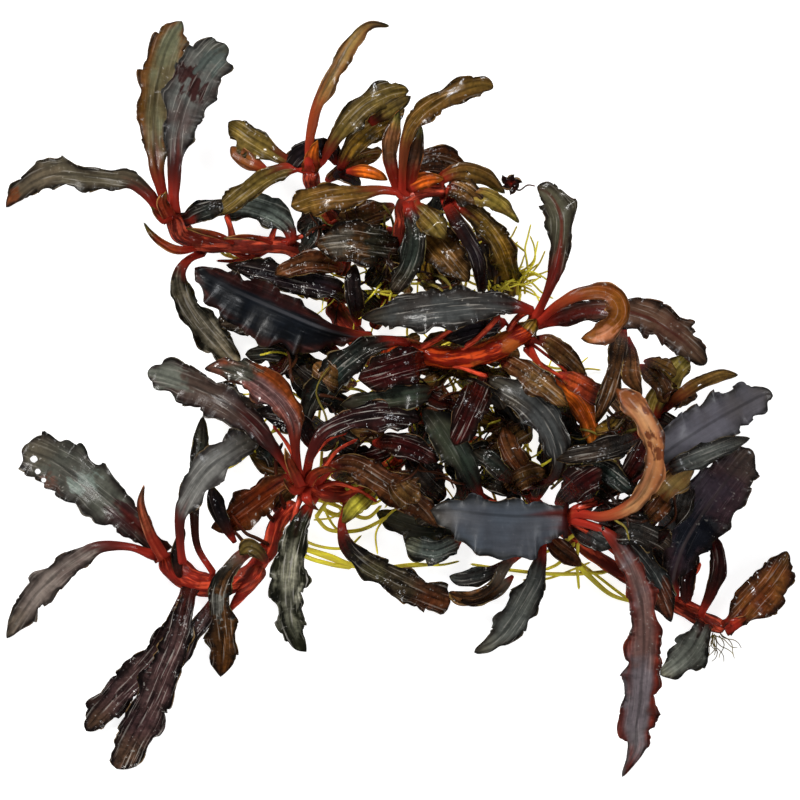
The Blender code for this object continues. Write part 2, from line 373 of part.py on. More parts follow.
def leaf_rings(leaf, foot):
    """Four points at each cross-section: one margin, the top of the midrib, the other margin, its foot.

    The margins rise and fall with cos(2 pi n s), where s is the share of the length and n the number
    of ripples, so there are two cross-sections to a ripple.
    """
    ripples = round(length_along(np.array(leaf.route, float)[:, :3])[-1] / RIPPLE)
    shares = np.linspace(0, 1, 2 * ripples + 1)
    curve = smooth_route(leaf.route, foot + (1 - foot) * shares)
    line = curve[:, :3]
    side, face = frames_along(line, leaf.roll)
    depth = np.interp(shares, [0, 0.35, 1], [STALK_HALF_DEPTH, RIB_HALF_DEPTH, TIP_HALF_DEPTH])
    margins = []
    for hand, half in ((-1, curve[:, 3]), (1, curve[:, 4])):
        half = np.maximum(half, TIP_HALF_WIDTH)
        blade = np.clip((half - STALK_WIDTH) / (FULL_RIPPLE_WIDTH - STALK_WIDTH), 0, 1)
        ripple = np.cos(2 * math.pi * ripples * shares) * blade
        reach = half * (1 + SCALLOP * hand * ripple)
        lift = leaf.cup * np.maximum(half - STALK_WIDTH, 0) + hand * leaf.wave * ripple
        margins.append(line + side * (hand * reach)[:, None] + face * lift[:, None])
    left, right = margins
    return np.stack([left, line + face * depth[:, None], right, line - face * depth[:, None]], axis=1)


def foot_share(leaf, stem):
    """The share of the route at which the stalk is clear of the stem that it grows from."""
    middle = smooth_route(stem.route, np.linspace(0, 1, 80))
    shares = np.linspace(0, 0.6, 240)
    line = smooth_route(leaf.route, shares)[:, :3]
    room = np.linalg.norm(line[:, None] - middle[None, :, :3], axis=2) - middle[:, 3] * (1 + NODE_SWELL)
    inside = room.min(axis=1) < leaf.route[0][3] + GAP
    return shares[inside][-1] if inside.any() else 0.0


def surface_samples(rings):
    """Points spread over the skin of a ringed piece, with the number of the ring that each follows."""
    following = np.roll(rings, -1, axis=1)
    grid = np.linspace(0, 1, 9)
    across = rings[:, :, None] + (following - rings)[:, :, None] * grid[None, None, :, None]
    across = across.reshape(len(rings), -1, 3)
    between = across[:-1, :, None] + np.diff(across, axis=0)[:, :, None] * grid[None, None, :, None]
    station = np.broadcast_to(np.arange(len(rings) - 1)[:, None, None], between.shape[:3])
    return between.reshape(-1, 3), station.ravel()


def cells_of(points):
    return tuple(np.floor((points[:, :2] + MAP_HALF_WIDTH) / CELL).astype(int).T)


def stamp(pile, rings):
    """Raises the pile's height map to the top of a piece."""
    points, _ = surface_samples(rings)
    np.maximum.at(pile, cells_of(points), points[:, 2])


def lay(pile, rings):
    """Lifts a leaf until it clears the pile. The lift fades along the leaf, and the foot stays put."""
    points, station = surface_samples(rings)
    column, row = cells_of(points)
    under = np.max([pile[column + i, row + j] for i in (-1, 0, 1) for j in (-1, 0, 1)], axis=0)
    short = np.zeros(len(rings))
    lacking = under + np.where(under > 0, REST_GAP, 0) - points[:, 2]
    np.maximum.at(short, station, lacking)
    np.maximum.at(short, station + 1, lacking)
    length = length_along(rings.mean(axis=1))
    apart = np.minimum(np.abs(length[:, None] - length[None]) / SETTLE_REACH, 1)
    lift = (np.maximum(short, 0)[None] * (0.5 + 0.5 * np.cos(math.pi * apart))).max(axis=1)
    anchored = np.clip(length / ANCHOR_LENGTH, 0, 1)
    lift *= anchored**2 * (3 - 2 * anchored)
    return rings + lift[:, None, None] * np.array((0, 0, 1))


def material_of(name, finish):
    """A plain material with the piece's own colour."""
    material = bpy.data.materials.get(name) or bpy.data.materials.new(name)
    material.use_nodes = True
    shader = material.node_tree.nodes["Principled BSDF"]
    colour, roughness = finish
    shader.inputs["Base Color"].default_value = (*colour, 1)
    shader.inputs["Roughness"].default_value = roughness
    shader.inputs["Metallic"].default_value = 0
    return material


def add_skin(name, rings, material, parent):
    """An object whose closed skin runs over the rings, with its origin at the middle of the first."""
    count, sides = rings.shape[:2]
    foot = rings[0].mean(axis=0)
    index = np.arange(count * sides).reshape(count, sides)
    following = np.roll(index, -1, axis=1)
    quads = np.stack([index[:-1], following[:-1], following[1:], index[1:]], axis=-1)
    even, odd = quads[:, 0::2].reshape(-1, 4), quads[:, 1::2].reshape(-1, 4)
    # The upper and the lower skin of a blade are split along the same diagonals, and so they can't cross
    faces = [*even[:, [0, 1, 2]].tolist(), *even[:, [0, 2, 3]].tolist(), *odd[:, [0, 1, 3]].tolist(),
             *odd[:, [1, 2, 3]].tolist(), index[0][::-1].tolist(), index[-1].tolist()]
    mesh = bpy.data.meshes.new(name)
    mesh.from_pydata(((rings - foot) * MM).reshape(-1, 3).tolist(), [], faces)
    mesh.materials.append(material)
    mesh.shade_smooth()
    mesh.set_sharp_from_angle(angle=math.radians(40))
    piece = bpy.data.objects.new(name, mesh)
    piece.location = Vector(foot * MM)
    piece.parent = parent
    bpy.context.scene.collection.objects.link(piece)


def main():
    for old in list(bpy.data.objects):
        bpy.data.objects.remove(old)
    clump = bpy.data.objects.new("clump", None)
    bpy.context.scene.collection.objects.link(clump)
    stems = {piece.name: piece for piece in CLUMP if isinstance(piece, Stem)}
    cells = round(2 * MAP_HALF_WIDTH / CELL)
    pile = np.zeros((cells, cells))
    for piece in CLUMP:
        if isinstance(piece, Leaf):
            rings = lay(pile, leaf_rings(piece, foot_share(piece, stems[piece.stem])))
            material = material_of("leaf_" + piece.finish, LEAF_FINISH[piece.finish])
        elif isinstance(piece, Stem):
            rings = stem_rings(piece)
            material = material_of("rhizome", STEM_FINISH)
        else:
            rings = tube_rings(piece.route, np.linspace(0, 1, 12), ROOT_SIDES)
            material = material_of("root", ROOT_FINISH)
        stamp(pile, rings)
        add_skin(piece.name, rings, material, clump)


main()
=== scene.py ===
"""A loose clump of bucephalandra, a creeping water plant, seen from straight above on a pale table.

Red rhizomes creep through the clump and end in crowns of long, wavy, glossy leaves; thin roots hang below.
The script follows the clump from the table up. Lengths are millimetres until a mesh is made: +X is right
and +Y is up in the camera's view, +Z is up.
"""

import math
import zlib

import bpy
import numpy as np
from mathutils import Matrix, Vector


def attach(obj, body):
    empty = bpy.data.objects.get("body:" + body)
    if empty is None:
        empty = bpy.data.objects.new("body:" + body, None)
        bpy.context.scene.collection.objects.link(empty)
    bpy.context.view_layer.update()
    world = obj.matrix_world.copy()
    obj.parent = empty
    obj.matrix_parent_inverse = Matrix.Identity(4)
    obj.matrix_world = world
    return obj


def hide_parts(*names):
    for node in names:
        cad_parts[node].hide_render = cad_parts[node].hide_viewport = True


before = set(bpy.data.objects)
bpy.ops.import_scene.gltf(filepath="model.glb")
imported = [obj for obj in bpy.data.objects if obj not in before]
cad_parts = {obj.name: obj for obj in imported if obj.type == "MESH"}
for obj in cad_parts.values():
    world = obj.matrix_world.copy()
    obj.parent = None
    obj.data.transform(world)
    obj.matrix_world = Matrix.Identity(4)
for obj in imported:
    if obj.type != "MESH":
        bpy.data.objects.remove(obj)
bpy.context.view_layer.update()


# Camera, table and lamps
# A pale matt table with a camera almost seven metres above it, so far off that the clump shows almost
# no perspective. A dim room and large soft lamps give wet leaves their long pale reflections.
PHOTO_WIDTH, FOCAL_LENGTH, SENSOR_WIDTH = 0.16, 1500.0, 36.0
bpy.context.scene.view_settings.view_transform = "Standard"
view = bpy.data.cameras.new("camera")
view.lens, view.sensor_width = FOCAL_LENGTH, SENSOR_WIDTH
camera = bpy.data.objects.new("camera", view)
camera.location = (0.0, -0.0003, PHOTO_WIDTH * FOCAL_LENGTH / SENSOR_WIDTH)
bpy.context.scene.collection.objects.link(camera)
bpy.context.scene.camera = camera

TABLE_REACH = 2
corners = [(x * TABLE_REACH, y * TABLE_REACH, 0) for x, y in ((-1, -1), (1, -1), (1, 1), (-1, 1))]
table_mesh = bpy.data.meshes.new("table")
table_mesh.from_pydata(corners, [], [(0, 1, 2, 3)])
table = bpy.data.objects.new("table", table_mesh)
table_finish = bpy.data.materials.new("pale_table")
table_finish.use_nodes = True
surface = table_finish.node_tree.nodes["Principled BSDF"].inputs
surface["Base Color"].default_value = (0.45, 0.45, 0.45, 1)
surface["Roughness"].default_value = 0.9
surface["Specular IOR Level"].default_value = 0.0
surface["Emission Color"].default_value = (1, 1, 1, 1)
surface["Emission Strength"].default_value = 0.86
table_mesh.materials.append(table_finish)
bpy.context.scene.collection.objects.link(table)
table.visible_glossy = False

room = bpy.data.worlds.new("room")
room.use_nodes = True
room.node_tree.nodes["Background"].inputs["Color"].default_value = (0.92, 0.96, 1.0, 1)
room.node_tree.nodes["Background"].inputs["Strength"].default_value = 0.05
bpy.context.scene.world = room

for name, place, size, power, colour in (
    ("lamp_left", (-0.80, 0.62, 0.95), (0.30, 0.14), 4.5, (1.0, 0.98, 0.95)),
    ("lamp_right", (1.05, 0.15, 0.80), (0.09, 0.24), 2.6, (0.95, 0.97, 1.0)),
    ("lamp_window", (-0.20, 1.00, 1.10), (0.60, 0.30), 1.0, (0.96, 0.98, 1.0)),
    ("fill_left", (-0.70, 0.70, 1.05), (0.50, 0.50), 20.0, (1.0, 0.99, 0.97)),
    ("fill_front", (0.35, -1.00, 1.15), (0.80, 0.60), 9.0, (1.0, 1.0, 1.0)),
    ("fill_right", (1.00, 0.70, 1.10), (0.60, 0.60), 6.0, (0.97, 0.98, 1.0)),
):
    lamp = bpy.data.lights.new(name, "AREA")
    lamp.shape, lamp.size, lamp.size_y = "RECTANGLE", *size
    lamp.energy, lamp.color = power, colour
    holder = bpy.data.objects.new(name, lamp)
    holder.location = place
    holder.rotation_euler = Vector(place).to_track_quat("Z", "Y").to_euler()
    holder.visible_glossy = name.startswith("lamp")
    bpy.context.scene.collection.objects.link(holder)


# Rhizomes
# The creeping stem, 2.5 to 5 mm thick, with a ring wherever a leaf once grew. It is fleshy and red, darker
# where old, and forks: each length starts on another one or ends in a crown of leaves.
MM = 0.001
SPAN_STEPS, RING_SPACING, TABLE_CLEARANCE = 16, 3.3, 0.02


def length_along(line):
    """Distance along a line of points, from its first."""
    return np.concatenate([[0], np.cumsum(np.linalg.norm(np.diff(line, axis=0), axis=1))])


def route_length(route):
    """The length of the straight lines between a route's points."""
    return length_along(np.array(route, float)[:, :3])[-1]


def smooth_route(points, shares):
    """Rows at given shares of the length of a Catmull-Rom curve through the route's own points."""
    known = np.array(points, float)
    padded = np.vstack([2 * known[0] - known[1], known, 2 * known[-1] - known[-2]])
    steps = np.linspace(0, 1, SPAN_STEPS, endpoint=False)[:, None]
    spans = []
    for a, b, c, d in zip(padded, padded[1:], padded[2:], padded[3:]):
        spans.append(0.5 * (2 * b + (c - a) * steps + (2 * a - 5 * b + 4 * c - d) * steps**2
                            + (3 * b - a - 3 * c + d) * steps**3))
    fine = np.vstack(spans + [known[-1:]])
    length = length_along(fine[:, :3])
    wanted = np.asarray(shares) * length[-1]
    return np.column_stack([np.interp(wanted, length, column) for column in fine.T])


def unit(vectors):
    """Each vector divided by its length."""
    return vectors / np.linalg.norm(vectors, axis=-1, keepdims=True)


def turned(side, face, angle):
    """The side and face directions turned about the line by an angle."""
    return side * np.cos(angle) + face * np.sin(angle), face * np.cos(angle) - side * np.sin(angle)


def frames_along(line, roll=0.0):
    """Side and face directions at each point: the face looks up, then turns about the line by roll."""
    tangent = unit(np.gradient(line, axis=0))
    side = unit(np.cross(tangent, (0.0, 0.0, 1.0)))
    return turned(side, np.cross(side, tangent),
                  np.radians(np.linspace(*np.broadcast_to(roll, 2), len(line)))[:, None])


def waver(along, lengths, draw):
    """A smooth wandering value of about -1 to 1: 1.4 times the mean of sines of the given wave lengths."""
    turns = along[..., None] / np.array(lengths) + draw.random(len(lengths))
    return np.sin(2 * math.pi * turns).mean(axis=-1) * 1.4


def smoothstep(value, low, high):
    """0 below low, 1 above high, and 3t^2 - 2t^3 between them."""
    t = np.clip((value - low) / (high - low), 0, 1)
    return t * t * (3 - 2 * t)


def bell(distance, width):
    """The height e^-(d / width)^2 of a rounded ridge at a distance d from its middle."""
    return np.exp(-((distance / width) ** 2))


def skin(name, bodies, finish, slot):
    """A piece of closed bodies: rings of points, their ends drawn in to a point, and facts for the skin.

    The facts of a point are three numbers, kept as the attribute skin, or six, kept as skin and leaf.
    """
    places, faces, values = [], [], []
    for rings, facts in bodies:
        count, sides = rings.shape[:2]
        index = np.arange(count * sides).reshape(count, sides) + len(places)
        following = np.roll(index, -1, axis=1)
        first, last = len(places) + count * sides, len(places) + count * sides + 1
        walls = np.stack([index[:-1], following[:-1], following[1:], index[1:]], axis=-1)
        faces += walls.reshape(-1, 4).tolist()
        faces += np.stack([following[0], index[0], np.full(sides, first)], axis=1).tolist()
        faces += np.stack([index[-1], following[-1], np.full(sides, last)], axis=1).tolist()
        for grid, rows in ((rings * MM, places), (facts, values)):
            rows += [*grid.reshape(count * sides, -1).tolist(), *grid[[0, -1]].mean(axis=1).tolist()]
    mesh = bpy.data.meshes.new(name)
    mesh.from_pydata(places, [], faces)
    for k, layer in enumerate(("skin", "leaf")[:len(values[0]) // 3]):
        attribute = mesh.attributes.new(layer, "FLOAT_VECTOR", "POINT")
        attribute.data.foreach_set("vector", np.array(values, np.float32)[:, 3 * k:3 * k + 3].ravel())
    mesh.materials.append(finish)
    mesh.shade_smooth()
    piece = bpy.data.objects.new(name, mesh)
    bpy.context.scene.collection.objects.link(piece)
    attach(piece, "root")
    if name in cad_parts:
        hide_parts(name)


class Wire:
    """A node's output as a value in a sum: +, - and * each add a Math node."""

    def __init__(self, paint, socket):
        self.paint, self.socket = paint, socket

    def math(self, operation, *values):
        return self.paint.node("ShaderNodeMath", {"operation": operation}, dict(enumerate(values)))

    def __add__(self, other):
        return self.math("ADD", self, other)

    def __sub__(self, other):
        return self.math("SUBTRACT", self, other)

    def __rsub__(self, other):
        return self.math("SUBTRACT", other, self)

    def __mul__(self, other):
        return self.math("MULTIPLY", self, other)

    def __abs__(self):
        return self.math("ABSOLUTE", self)

    __radd__, __rmul__ = __add__, __mul__

    def ease(self, low, high):
        """0 at low, 1 at high, with soft ends, and held outside them. A high below low turns it round."""
        return self.paint.node("ShaderNodeMapRange", {"interpolation_type": "SMOOTHSTEP"},
                               {"Value": self, "From Min": low, "From Max": high})


class Paint:
    """A material under construction: a Principled shader and the nodes that vary it over the surface.

    The attribute skin holds the distances in millimetres along the piece, across it and from its margin.
    On a stem the third is 1 on a ring and 0 between rings.
    """

    def __init__(self, name):
        self.material = bpy.data.materials.new(name)
        self.material.use_nodes = True
        self.tree = self.material.node_tree
        self.shader = self.tree.nodes["Principled BSDF"]
        self.facts = self.node("ShaderNodeAttribute", {"attribute_name": "skin"}, result="Vector")
        _, self.across, self.margin = self.parts(self.facts, 3)
        self.place = self.node("ShaderNodeTexCoord", result="Object")

    def node(self, kind, settings=None, sockets=None, result=0):
        """A node of the given type: its settings first, then the values or links of its sockets."""
        made = self.tree.nodes.new(kind)
        for key, value in (settings or {}).items():
            setattr(made, key, value)
        for key, value in (sockets or {}).items():
            self.plug(made.inputs[key], value)
        return Wire(self, made.outputs[result])

    def plug(self, socket, value):
        """Links a wire to the socket, or sets it to a value; a colour of three numbers is opaque."""
        if isinstance(value, Wire):
            self.tree.links.new(value.socket, socket)
        elif isinstance(value, tuple) and len(value) == 3 and len(socket.default_value) == 4:
            socket.default_value = (*value, 1)
        else:
            socket.default_value = value

    def parts(self, vector, count):
        """The first few numbers of a vector."""
        return [self.node("ShaderNodeSeparateXYZ", sockets={"Vector": vector}, result=k)
                for k in range(count)]

    def mix(self, share, first, second):
        """The first colour where share is 0, the second where it is 1."""
        return self.node("ShaderNodeMix", {"data_type": "RGBA"}, {0: share, 6: first, 7: second}, result=2)

    def noise(self, vector, scale, detail=3.0, rough=0.55):
        """Soft random cloudiness of about 0.3 to 0.7."""
        return self.node("ShaderNodeTexNoise", {}, {"Vector": vector, "Scale": scale, "Detail": detail,
                                                    "Roughness": rough})

    def stretched(self, along, across):
        """The skin's own coordinates, in waves to a millimetre along and across the piece."""
        return self.multiplied(self.facts, (along, across, 0.0))

    def multiplied(self, vector, factors):
        """The vector with each number times its own factor."""
        return self.node("ShaderNodeVectorMath", {"operation": "MULTIPLY"}, {0: vector, 1: factors})

    def scaled(self, colour, factor):
        """The colour made brighter or darker by a factor."""
        return self.node("ShaderNodeVectorMath", {"operation": "SCALE"}, {0: colour, "Scale": factor})

    def relief(self, height, strength, depth):
        """Raises the surface by the height, in millimetres of depth, through a Bump node."""
        self.set(Normal=self.node("ShaderNodeBump", {}, {"Height": height, "Strength": strength,
                                                          "Distance": depth * MM}))

    def set(self, **values):
        """Sets or links the shader's own sockets."""
        for key, value in values.items():
            self.plug(self.shader.inputs[key.replace("_", " ")], value)


def stem_finish(name, young, old, ring, streaks):
    """Wet skin of a stem or root: streaks along it, patches of the old colour, and rings; on amber_stem the
    old colour is a painted orange sheen.
    """
    paint = Paint(name)
    streak = paint.noise(paint.stretched(0.16, 0.9), 1.0, 4.0)
    blotch = paint.noise(paint.place, 160.0, 3.0)
    fine = paint.noise(paint.stretched(0.8, 3.2), 1.0, 3.0)
    colour = paint.mix(streak.ease(0.38, 0.52), young, streaks)
    # Patches of the old colour: older, darker skin on most stems; on amber_stem a painted orange sheen.
    colour = paint.mix(blotch.ease(0.54, 0.66) * 0.75, colour, old)
    colour = paint.mix(paint.margin * fine.ease(0.3, 0.6) * 0.5, colour, ring)
    paint.set(Base_Color=colour, Roughness=0.12 + 0.14 * blotch.ease(0.4, 0.7))
    paint.relief(streak + fine * 0.15, 0.8, 0.6)
    return paint.material


def around(side, face, angle):
    """Directions all round a stem at each of its points, from straight below it on."""
    return -side[:, None] * np.sin(angle)[:, None] - face[:, None] * np.cos(angle)[:, None]


def tube_body(route, draw, sides, step, lumps):
    """A round stem along a route: radius r(1 + rings + lumps), drawn in at the ends like half a circle.

    The rings are ridges e^-(d / 0.22)^2 in dips e^-(d / 0.7)^2, where d is the distance from the nearest
    ring. They sit every 3.3 mm and run aslant. Three shallow flutes wander round the stem.
    """
    length = route_length(route)
    along = np.linspace(0, length, max(12, round(length / step)))
    curve = smooth_route(route, along / length)
    radius = curve[:, 3:4]
    angle = 2 * math.pi * np.arange(sides) / sides
    drift = waver(along, (9.0, 5.3), draw)[:, None]
    turn = (along[:, None] + 0.5 * np.sin(angle + drift * 2) + drift) / RING_SPACING
    from_ring = (turn - np.round(turn)) * RING_SPACING
    ridge, dip = bell(from_ring, 0.22), bell(from_ring, 0.7)
    lump = waver(along[:, None] + 1.7 * np.cos(angle), (4.1, 7.7, 12.3), draw)
    flute = np.cos(3 * angle + 2.5 * waver(along, (17.0, 29.0), draw)[:, None])
    shape = 1 + (0.03 * ridge - 0.03 * dip + 0.06 * flute) * (lumps > 0) + lumps * lump
    blunt = np.minimum(along, length - along)[:, None] / (0.8 * radius)
    shape *= np.sqrt(1 - (1 - np.clip(blunt, 0.0, 1)) ** 2) * 0.999 + 0.001
    rings = curve[:, None, :3] + around(*frames_along(curve[:, :3]), angle) * (radius * shape)[..., None]
    rings[..., 2] = np.maximum(rings[..., 2], TABLE_CLEARANCE)
    facts = np.broadcast_arrays(along[:, None], radius * angle, ridge * (lumps > 0))
    return rings, np.stack(facts, axis=-1)


def fleshy_tubes(name, routes, finish, slot, sides=24, step=0.35, lumps=0.08):
    """One piece of round stems, one along each route. A route's point is its place and the radius there."""
    draw = np.random.default_rng(zlib.crc32(name.encode()))
    skin(name, [tube_body(route, draw, sides, step, lumps) for route in routes], finish, slot)


stem_routes = {
    "rhizome_main": [(-14, 19.2, 2.04, 2.2), (-8, 11.2, 2.04, 2.2), (-1, 2.2, 2.04, 2.2),
                     (8, -5.8, 2.04, 2.2), (18, -11.8, 2.04, 2.2), (25, -18.8, 2.04, 2.2)],
    "rhizome_se_low": [(25.4, -19.3, 1.8, 1.4), (33, -26.6, 1.7, 1.4), (41, -32.8, 1.7, 1.4),
                       (48, -37.2, 2, 1.5), (53, -39.9, 2.6, 1.6), (57, -42.3, 3.2, 1.6),
                       (61.4, -44.5, 4, 1.6), (65, -46, 5.2, 1.4)],
    "rhizome_far_east": [(28, -16.4, 2.6, 1.3), (33, -12.9, 3.4, 1.3), (39, -9.3, 5, 1.3),
                         (45, -6.3, 7.4, 1.3), (49.6, -4.3, 10, 1.2)],
    "rhizome_sw": [(-20.8, -20.7, 11, 1.5), (-24.4, -24.7, 9.5, 1.7), (-26.4, -30.3, 7.5, 1.8),
                   (-30.4, -35.1, 5.6, 1.8), (-35, -37.5, 5, 2.0), (-40, -36.9, 5, 2.5),
                   (-44.4, -34.3, 6, 2.6), (-47.6, -31.3, 7.6, 2.0)],
    "rhizome_nw": [(-14.5, 20, 2.2, 1.6), (-15.6, 22.6, 3.6, 1.6), (-17.6, 26.6, 6.4, 1.6),
                   (-22, 30.1, 8.4, 1.7), (-28, 30.7, 9, 1.8), (-34, 30.7, 9.4, 1.8),
                   (-39.6, 31.1, 10.6, 1.8), (-43.4, 33.1, 12.8, 2.2), (-45.4, 36.3, 15.6, 1.8)],
    "rhizome_east": [(-0.4, 6.7, 5.4, 2.1), (-1.6, 9.2, 10, 2.1), (0.6, 10, 15, 2.1),
                     (5, 8.9, 18.6, 2.2), (10.4, 8.1, 19.6, 2.3), (17, 9.1, 20.4, 2.4),
                     (22.6, 11.9, 21.4, 2.2), (26, 14.7, 22.2, 1.8)],
    "rhizome_north": [(-11.8, 24.4, 3.6, 1.5), (-11.2, 28.6, 5, 1.5), (-12.4, 33.2, 7.6, 1.6),
                      (-15, 38, 11.6, 1.6), (-17.2, 42, 15.4, 1.7), (-18, 45.6, 19, 1.5)],
    "rhizome_ne": [(-5.2, 13.9, 3.2, 1.4), (-3.4, 18.6, 5, 1.4), (-1.6, 24, 8, 1.5),
                   (-0.4, 30, 11.6, 1.5), (0.4, 35, 14.8, 1.5), (1.2, 39.2, 17.6, 1.6),
                   (5, 41.2, 18.8, 1.4), (9.4, 41.6, 19.2, 1.2)],
    "rhizome_west": [(4, -8, 3.2, 1.8), (-0.6, -12.4, 5.6, 1.8), (-6, -16.8, 8.6, 1.9),
                     (-12, -18.8, 11.4, 2.0), (-18.6, -17.1, 14.4, 2.0)],
    "rhizome_se": [(12.6, -13.6, 3.4, 1.8), (13.2, -17.6, 7, 1.8), (16.8, -21.2, 11, 1.9),
                   (22, -23.3, 13.4, 2.0), (28, -24.1, 15.4, 2.1), (33.6, -23.5, 17.4, 2.0)],
}

red_stem = stem_finish("red_stem", (0.72, 0.08, 0.032), (0.16, 0.026, 0.013), (0.05, 0.006, 0.003),
                       (0.2, 0.014, 0.008))
old_stem = stem_finish("old_stem", (0.6, 0.08, 0.036), (0.024, 0.008, 0.005), (0.045, 0.006, 0.003),
                       (0.12, 0.013, 0.008))
# Its second, orange-yellow colour is painted sheen laid in patches, where other stems have older skin.
amber_stem = stem_finish("amber_stem", (0.66, 0.07, 0.012), (0.38, 0.09, 0.012), (0.05, 0.006, 0.003),
                         (0.17, 0.01, 0.004))
stem_finishes = {"rhizome_nw": old_stem, "rhizome_main": old_stem, "rhizome_se_low": old_stem,
                 "rhizome_north": old_stem, "rhizome_ne": old_stem, "rhizome_east": amber_stem}
for name, route in stem_routes.items():
    fleshy_tubes(name, [route], stem_finishes.get(name, red_stem), "rhizome")


# Thick roots
# Two stout anchoring roots under the clump, round and fleshy like wet string, yellow-green, thinning
# towards the tip. They grow out of the underside of the rhizomes and lie on the table.
root_routes = {
    "root_south": [(31, -28.7, 4, 0.55), (34, -31.7, 2.4, 0.6), (38, -35.7, 1.2, 0.55),
                   (42, -39.1, 0.7, 0.45), (46.4, -40.7, 0.5, 0.3)],
    "root_west": [(-20, -29.7, 2.4, 0.5), (-14, -31.7, 1.2, 0.7), (-9.6, -33.3, 0.8, 0.6),
                  (-2, -33.7, 0.6, 0.4), (8, -33.1, 0.5, 0.3)],
}
root_skin = stem_finish("root_skin", (0.9, 0.8, 0.05), (0.64, 0.56, 0.05), (0.5, 0.3, 0.03),
                        (0.7, 0.58, 0.06))
for name, route in root_routes.items():
    fleshy_tubes(name, [route], root_skin, "root", sides=12, step=0.4, lumps=0)


# Fine roots
# Threads up to a millimetre thick that hang from the rhizomes to the table. The long ones follow routes of
# their own; the mat under the heart and the tuft in the north-east wander at random.
draw = np.random.default_rng(11)


def wander(x, y, turn, reach, low, high, radius):
    """A route from (x, y): it heads off at an angle and bends by a smooth random amount on the way."""
    t = np.linspace(0, 1, 6)
    bearing = turn + draw.normal(0, 0.7) * t + 0.5 * np.sin(2 * math.pi * (t + draw.random()))
    steps = np.stack([np.cos(bearing), np.sin(bearing)], axis=1) * reach / 5
    place = np.array((x, y)) + np.cumsum(steps, axis=0) - steps[0]
    height = low + (high - low) * (0.5 + 0.5 * np.sin(math.pi * (draw.random() * 2 + 1.5 * t)))
    return np.column_stack([place, height, radius * np.linspace(1, 0.6, 6)]).tolist()


def about(low, spread):
    """A random value from low to low + spread."""
    return low + spread * draw.random()


fleshy_tubes("roots_west", [
    [(-17, -24, 9, 0.45), (-14, -20.1, 11, 0.4), (-10, -17.7, 13, 0.4), (-7, -16.7, 12, 0.35)],
    [(-16.8, -23.7, 4, 0.4), (-14, -26.3, 3, 0.4), (-8, -26.3, 2.4, 0.4), (-2.4, -23.7, 2, 0.35)],
    [(-16, -21.7, 5, 0.4), (-12.4, -23.3, 4, 0.5), (-8, -21.7, 4, 0.4), (-4.4, -18.7, 5, 0.3)],
    [(-18.4, -19.7, 6, 0.4), (-13, -21.3, 5, 0.4), (-7, -23.9, 3.4, 0.4), (-3.6, -21.3, 4, 0.3)],
    [(-13.6, -17.7, 6, 0.4), (-11, -21.3, 5, 0.35), (-6, -20.9, 4, 0.35), (-3, -17.7, 5, 0.3)],
    [(-21, -27.7, 5, 0.4), (-19.2, -31.3, 3, 0.45), (-14, -33.1, 1.4, 0.45), (-9.6, -33.9, 0.8, 0.4)],
    [(-2, -33.7, 0.6, 0.35), (3, -33.1, 0.5, 0.3), (8, -33.3, 0.4, 0.25), (12, -32.5, 0.4, 0.2)],
    [(-22, -26.5, 5, 0.3), (-17, -29.3, 2.6, 0.3), (-11, -29.9, 1, 0.3), (-7.6, -27.3, 1, 0.2)],
], root_skin, "root", sides=8, step=0.5, lumps=0)
fleshy_tubes("roots_south", [
    [(14, -33.1, 0.6, 0.25), (22, -34.3, 1, 0.35), (31, -35.1, 1.2, 0.4), (40, -34.7, 1, 0.35),
     (45, -33.1, 0.8, 0.25)],
    [(35.6, -28.7, 6, 0.35), (35.4, -33, 3, 0.35), (35.8, -38.3, 0.8, 0.25)],
    [(35, -28.7, 6, 0.35), (32, -32.7, 3, 0.35), (29, -34.3, 1, 0.3)],
    [(35, -27.1, 8, 0.4), (31.8, -29.3, 5, 0.4), (28.4, -31.1, 3, 0.3)],
    [(34, -31.3, 1, 0.3), (40, -35.9, 0.6, 0.3), (45.4, -39.9, 0.5, 0.3), (49, -41.3, 0.5, 0.2)],
    [(36, -34.3, 1.2, 0.25), (40.6, -34.9, 2, 0.25), (44.8, -32.3, 3, 0.2)],
    [(24.4, -36.3, 1, 0.2), (30, -35.9, 0.8, 0.25), (38.2, -32.7, 1, 0.2)],
], root_skin, "root", sides=8, step=0.5, lumps=0)
fleshy_tubes("roots_north_west", [
    [(-35.2, 30.7, 9, 0.35), (-33.8, 28.5, 4, 0.35), (-29.4, 26.5, 1.6, 0.45), (-25.4, 24.1, 1, 0.35),
     (-19, 20, 2, 0.3)],
    [(-36.4, 30.5, 9, 0.3), (-35, 28.7, 5, 0.3), (-31, 27.7, 3, 0.3), (-27.6, 26.3, 2, 0.25),
     (-22, 22, 2, 0.2)],
    [(-16.8, 20.3, 1, 0.35), (-13, 19.1, 0.8, 0.4), (-9.6, 17.5, 0.8, 0.35)],
    [(-13.2, 20.7, 1.4, 0.3), (-12.8, 18.3, 1.6, 0.3), (-13.8, 16.1, 1, 0.25)],
    [(-18, 21.3, 1.4, 0.3), (-14, 21.1, 1.2, 0.3), (-10, 19.7, 1, 0.25)],
], root_skin, "root", sides=8, step=0.5, lumps=0)
fleshy_tubes("roots_north_east", [
    wander(about(17, 8), about(18, 6), 1.0 + draw.normal(0, 0.5), about(8, 8), 1.0, 9.0, 0.3)
    for _ in range(26)
], root_skin, "root", sides=6, step=0.6, lumps=0)
mat_corners = ((-24, 22, -18, 8), (4, 28, -14, 6), (-6, 18, 18, 34))
fleshy_tubes("root_mat", [
    wander(about(x0, x1 - x0), about(y0, y1 - y0), about(0, 7), about(12, 12), 0.5, 11.0, about(0.22, 0.2))
    for x0, x1, y0, y1 in mat_corners for _ in range(36)
], root_skin, "root", sides=6, step=0.7, lumps=0)


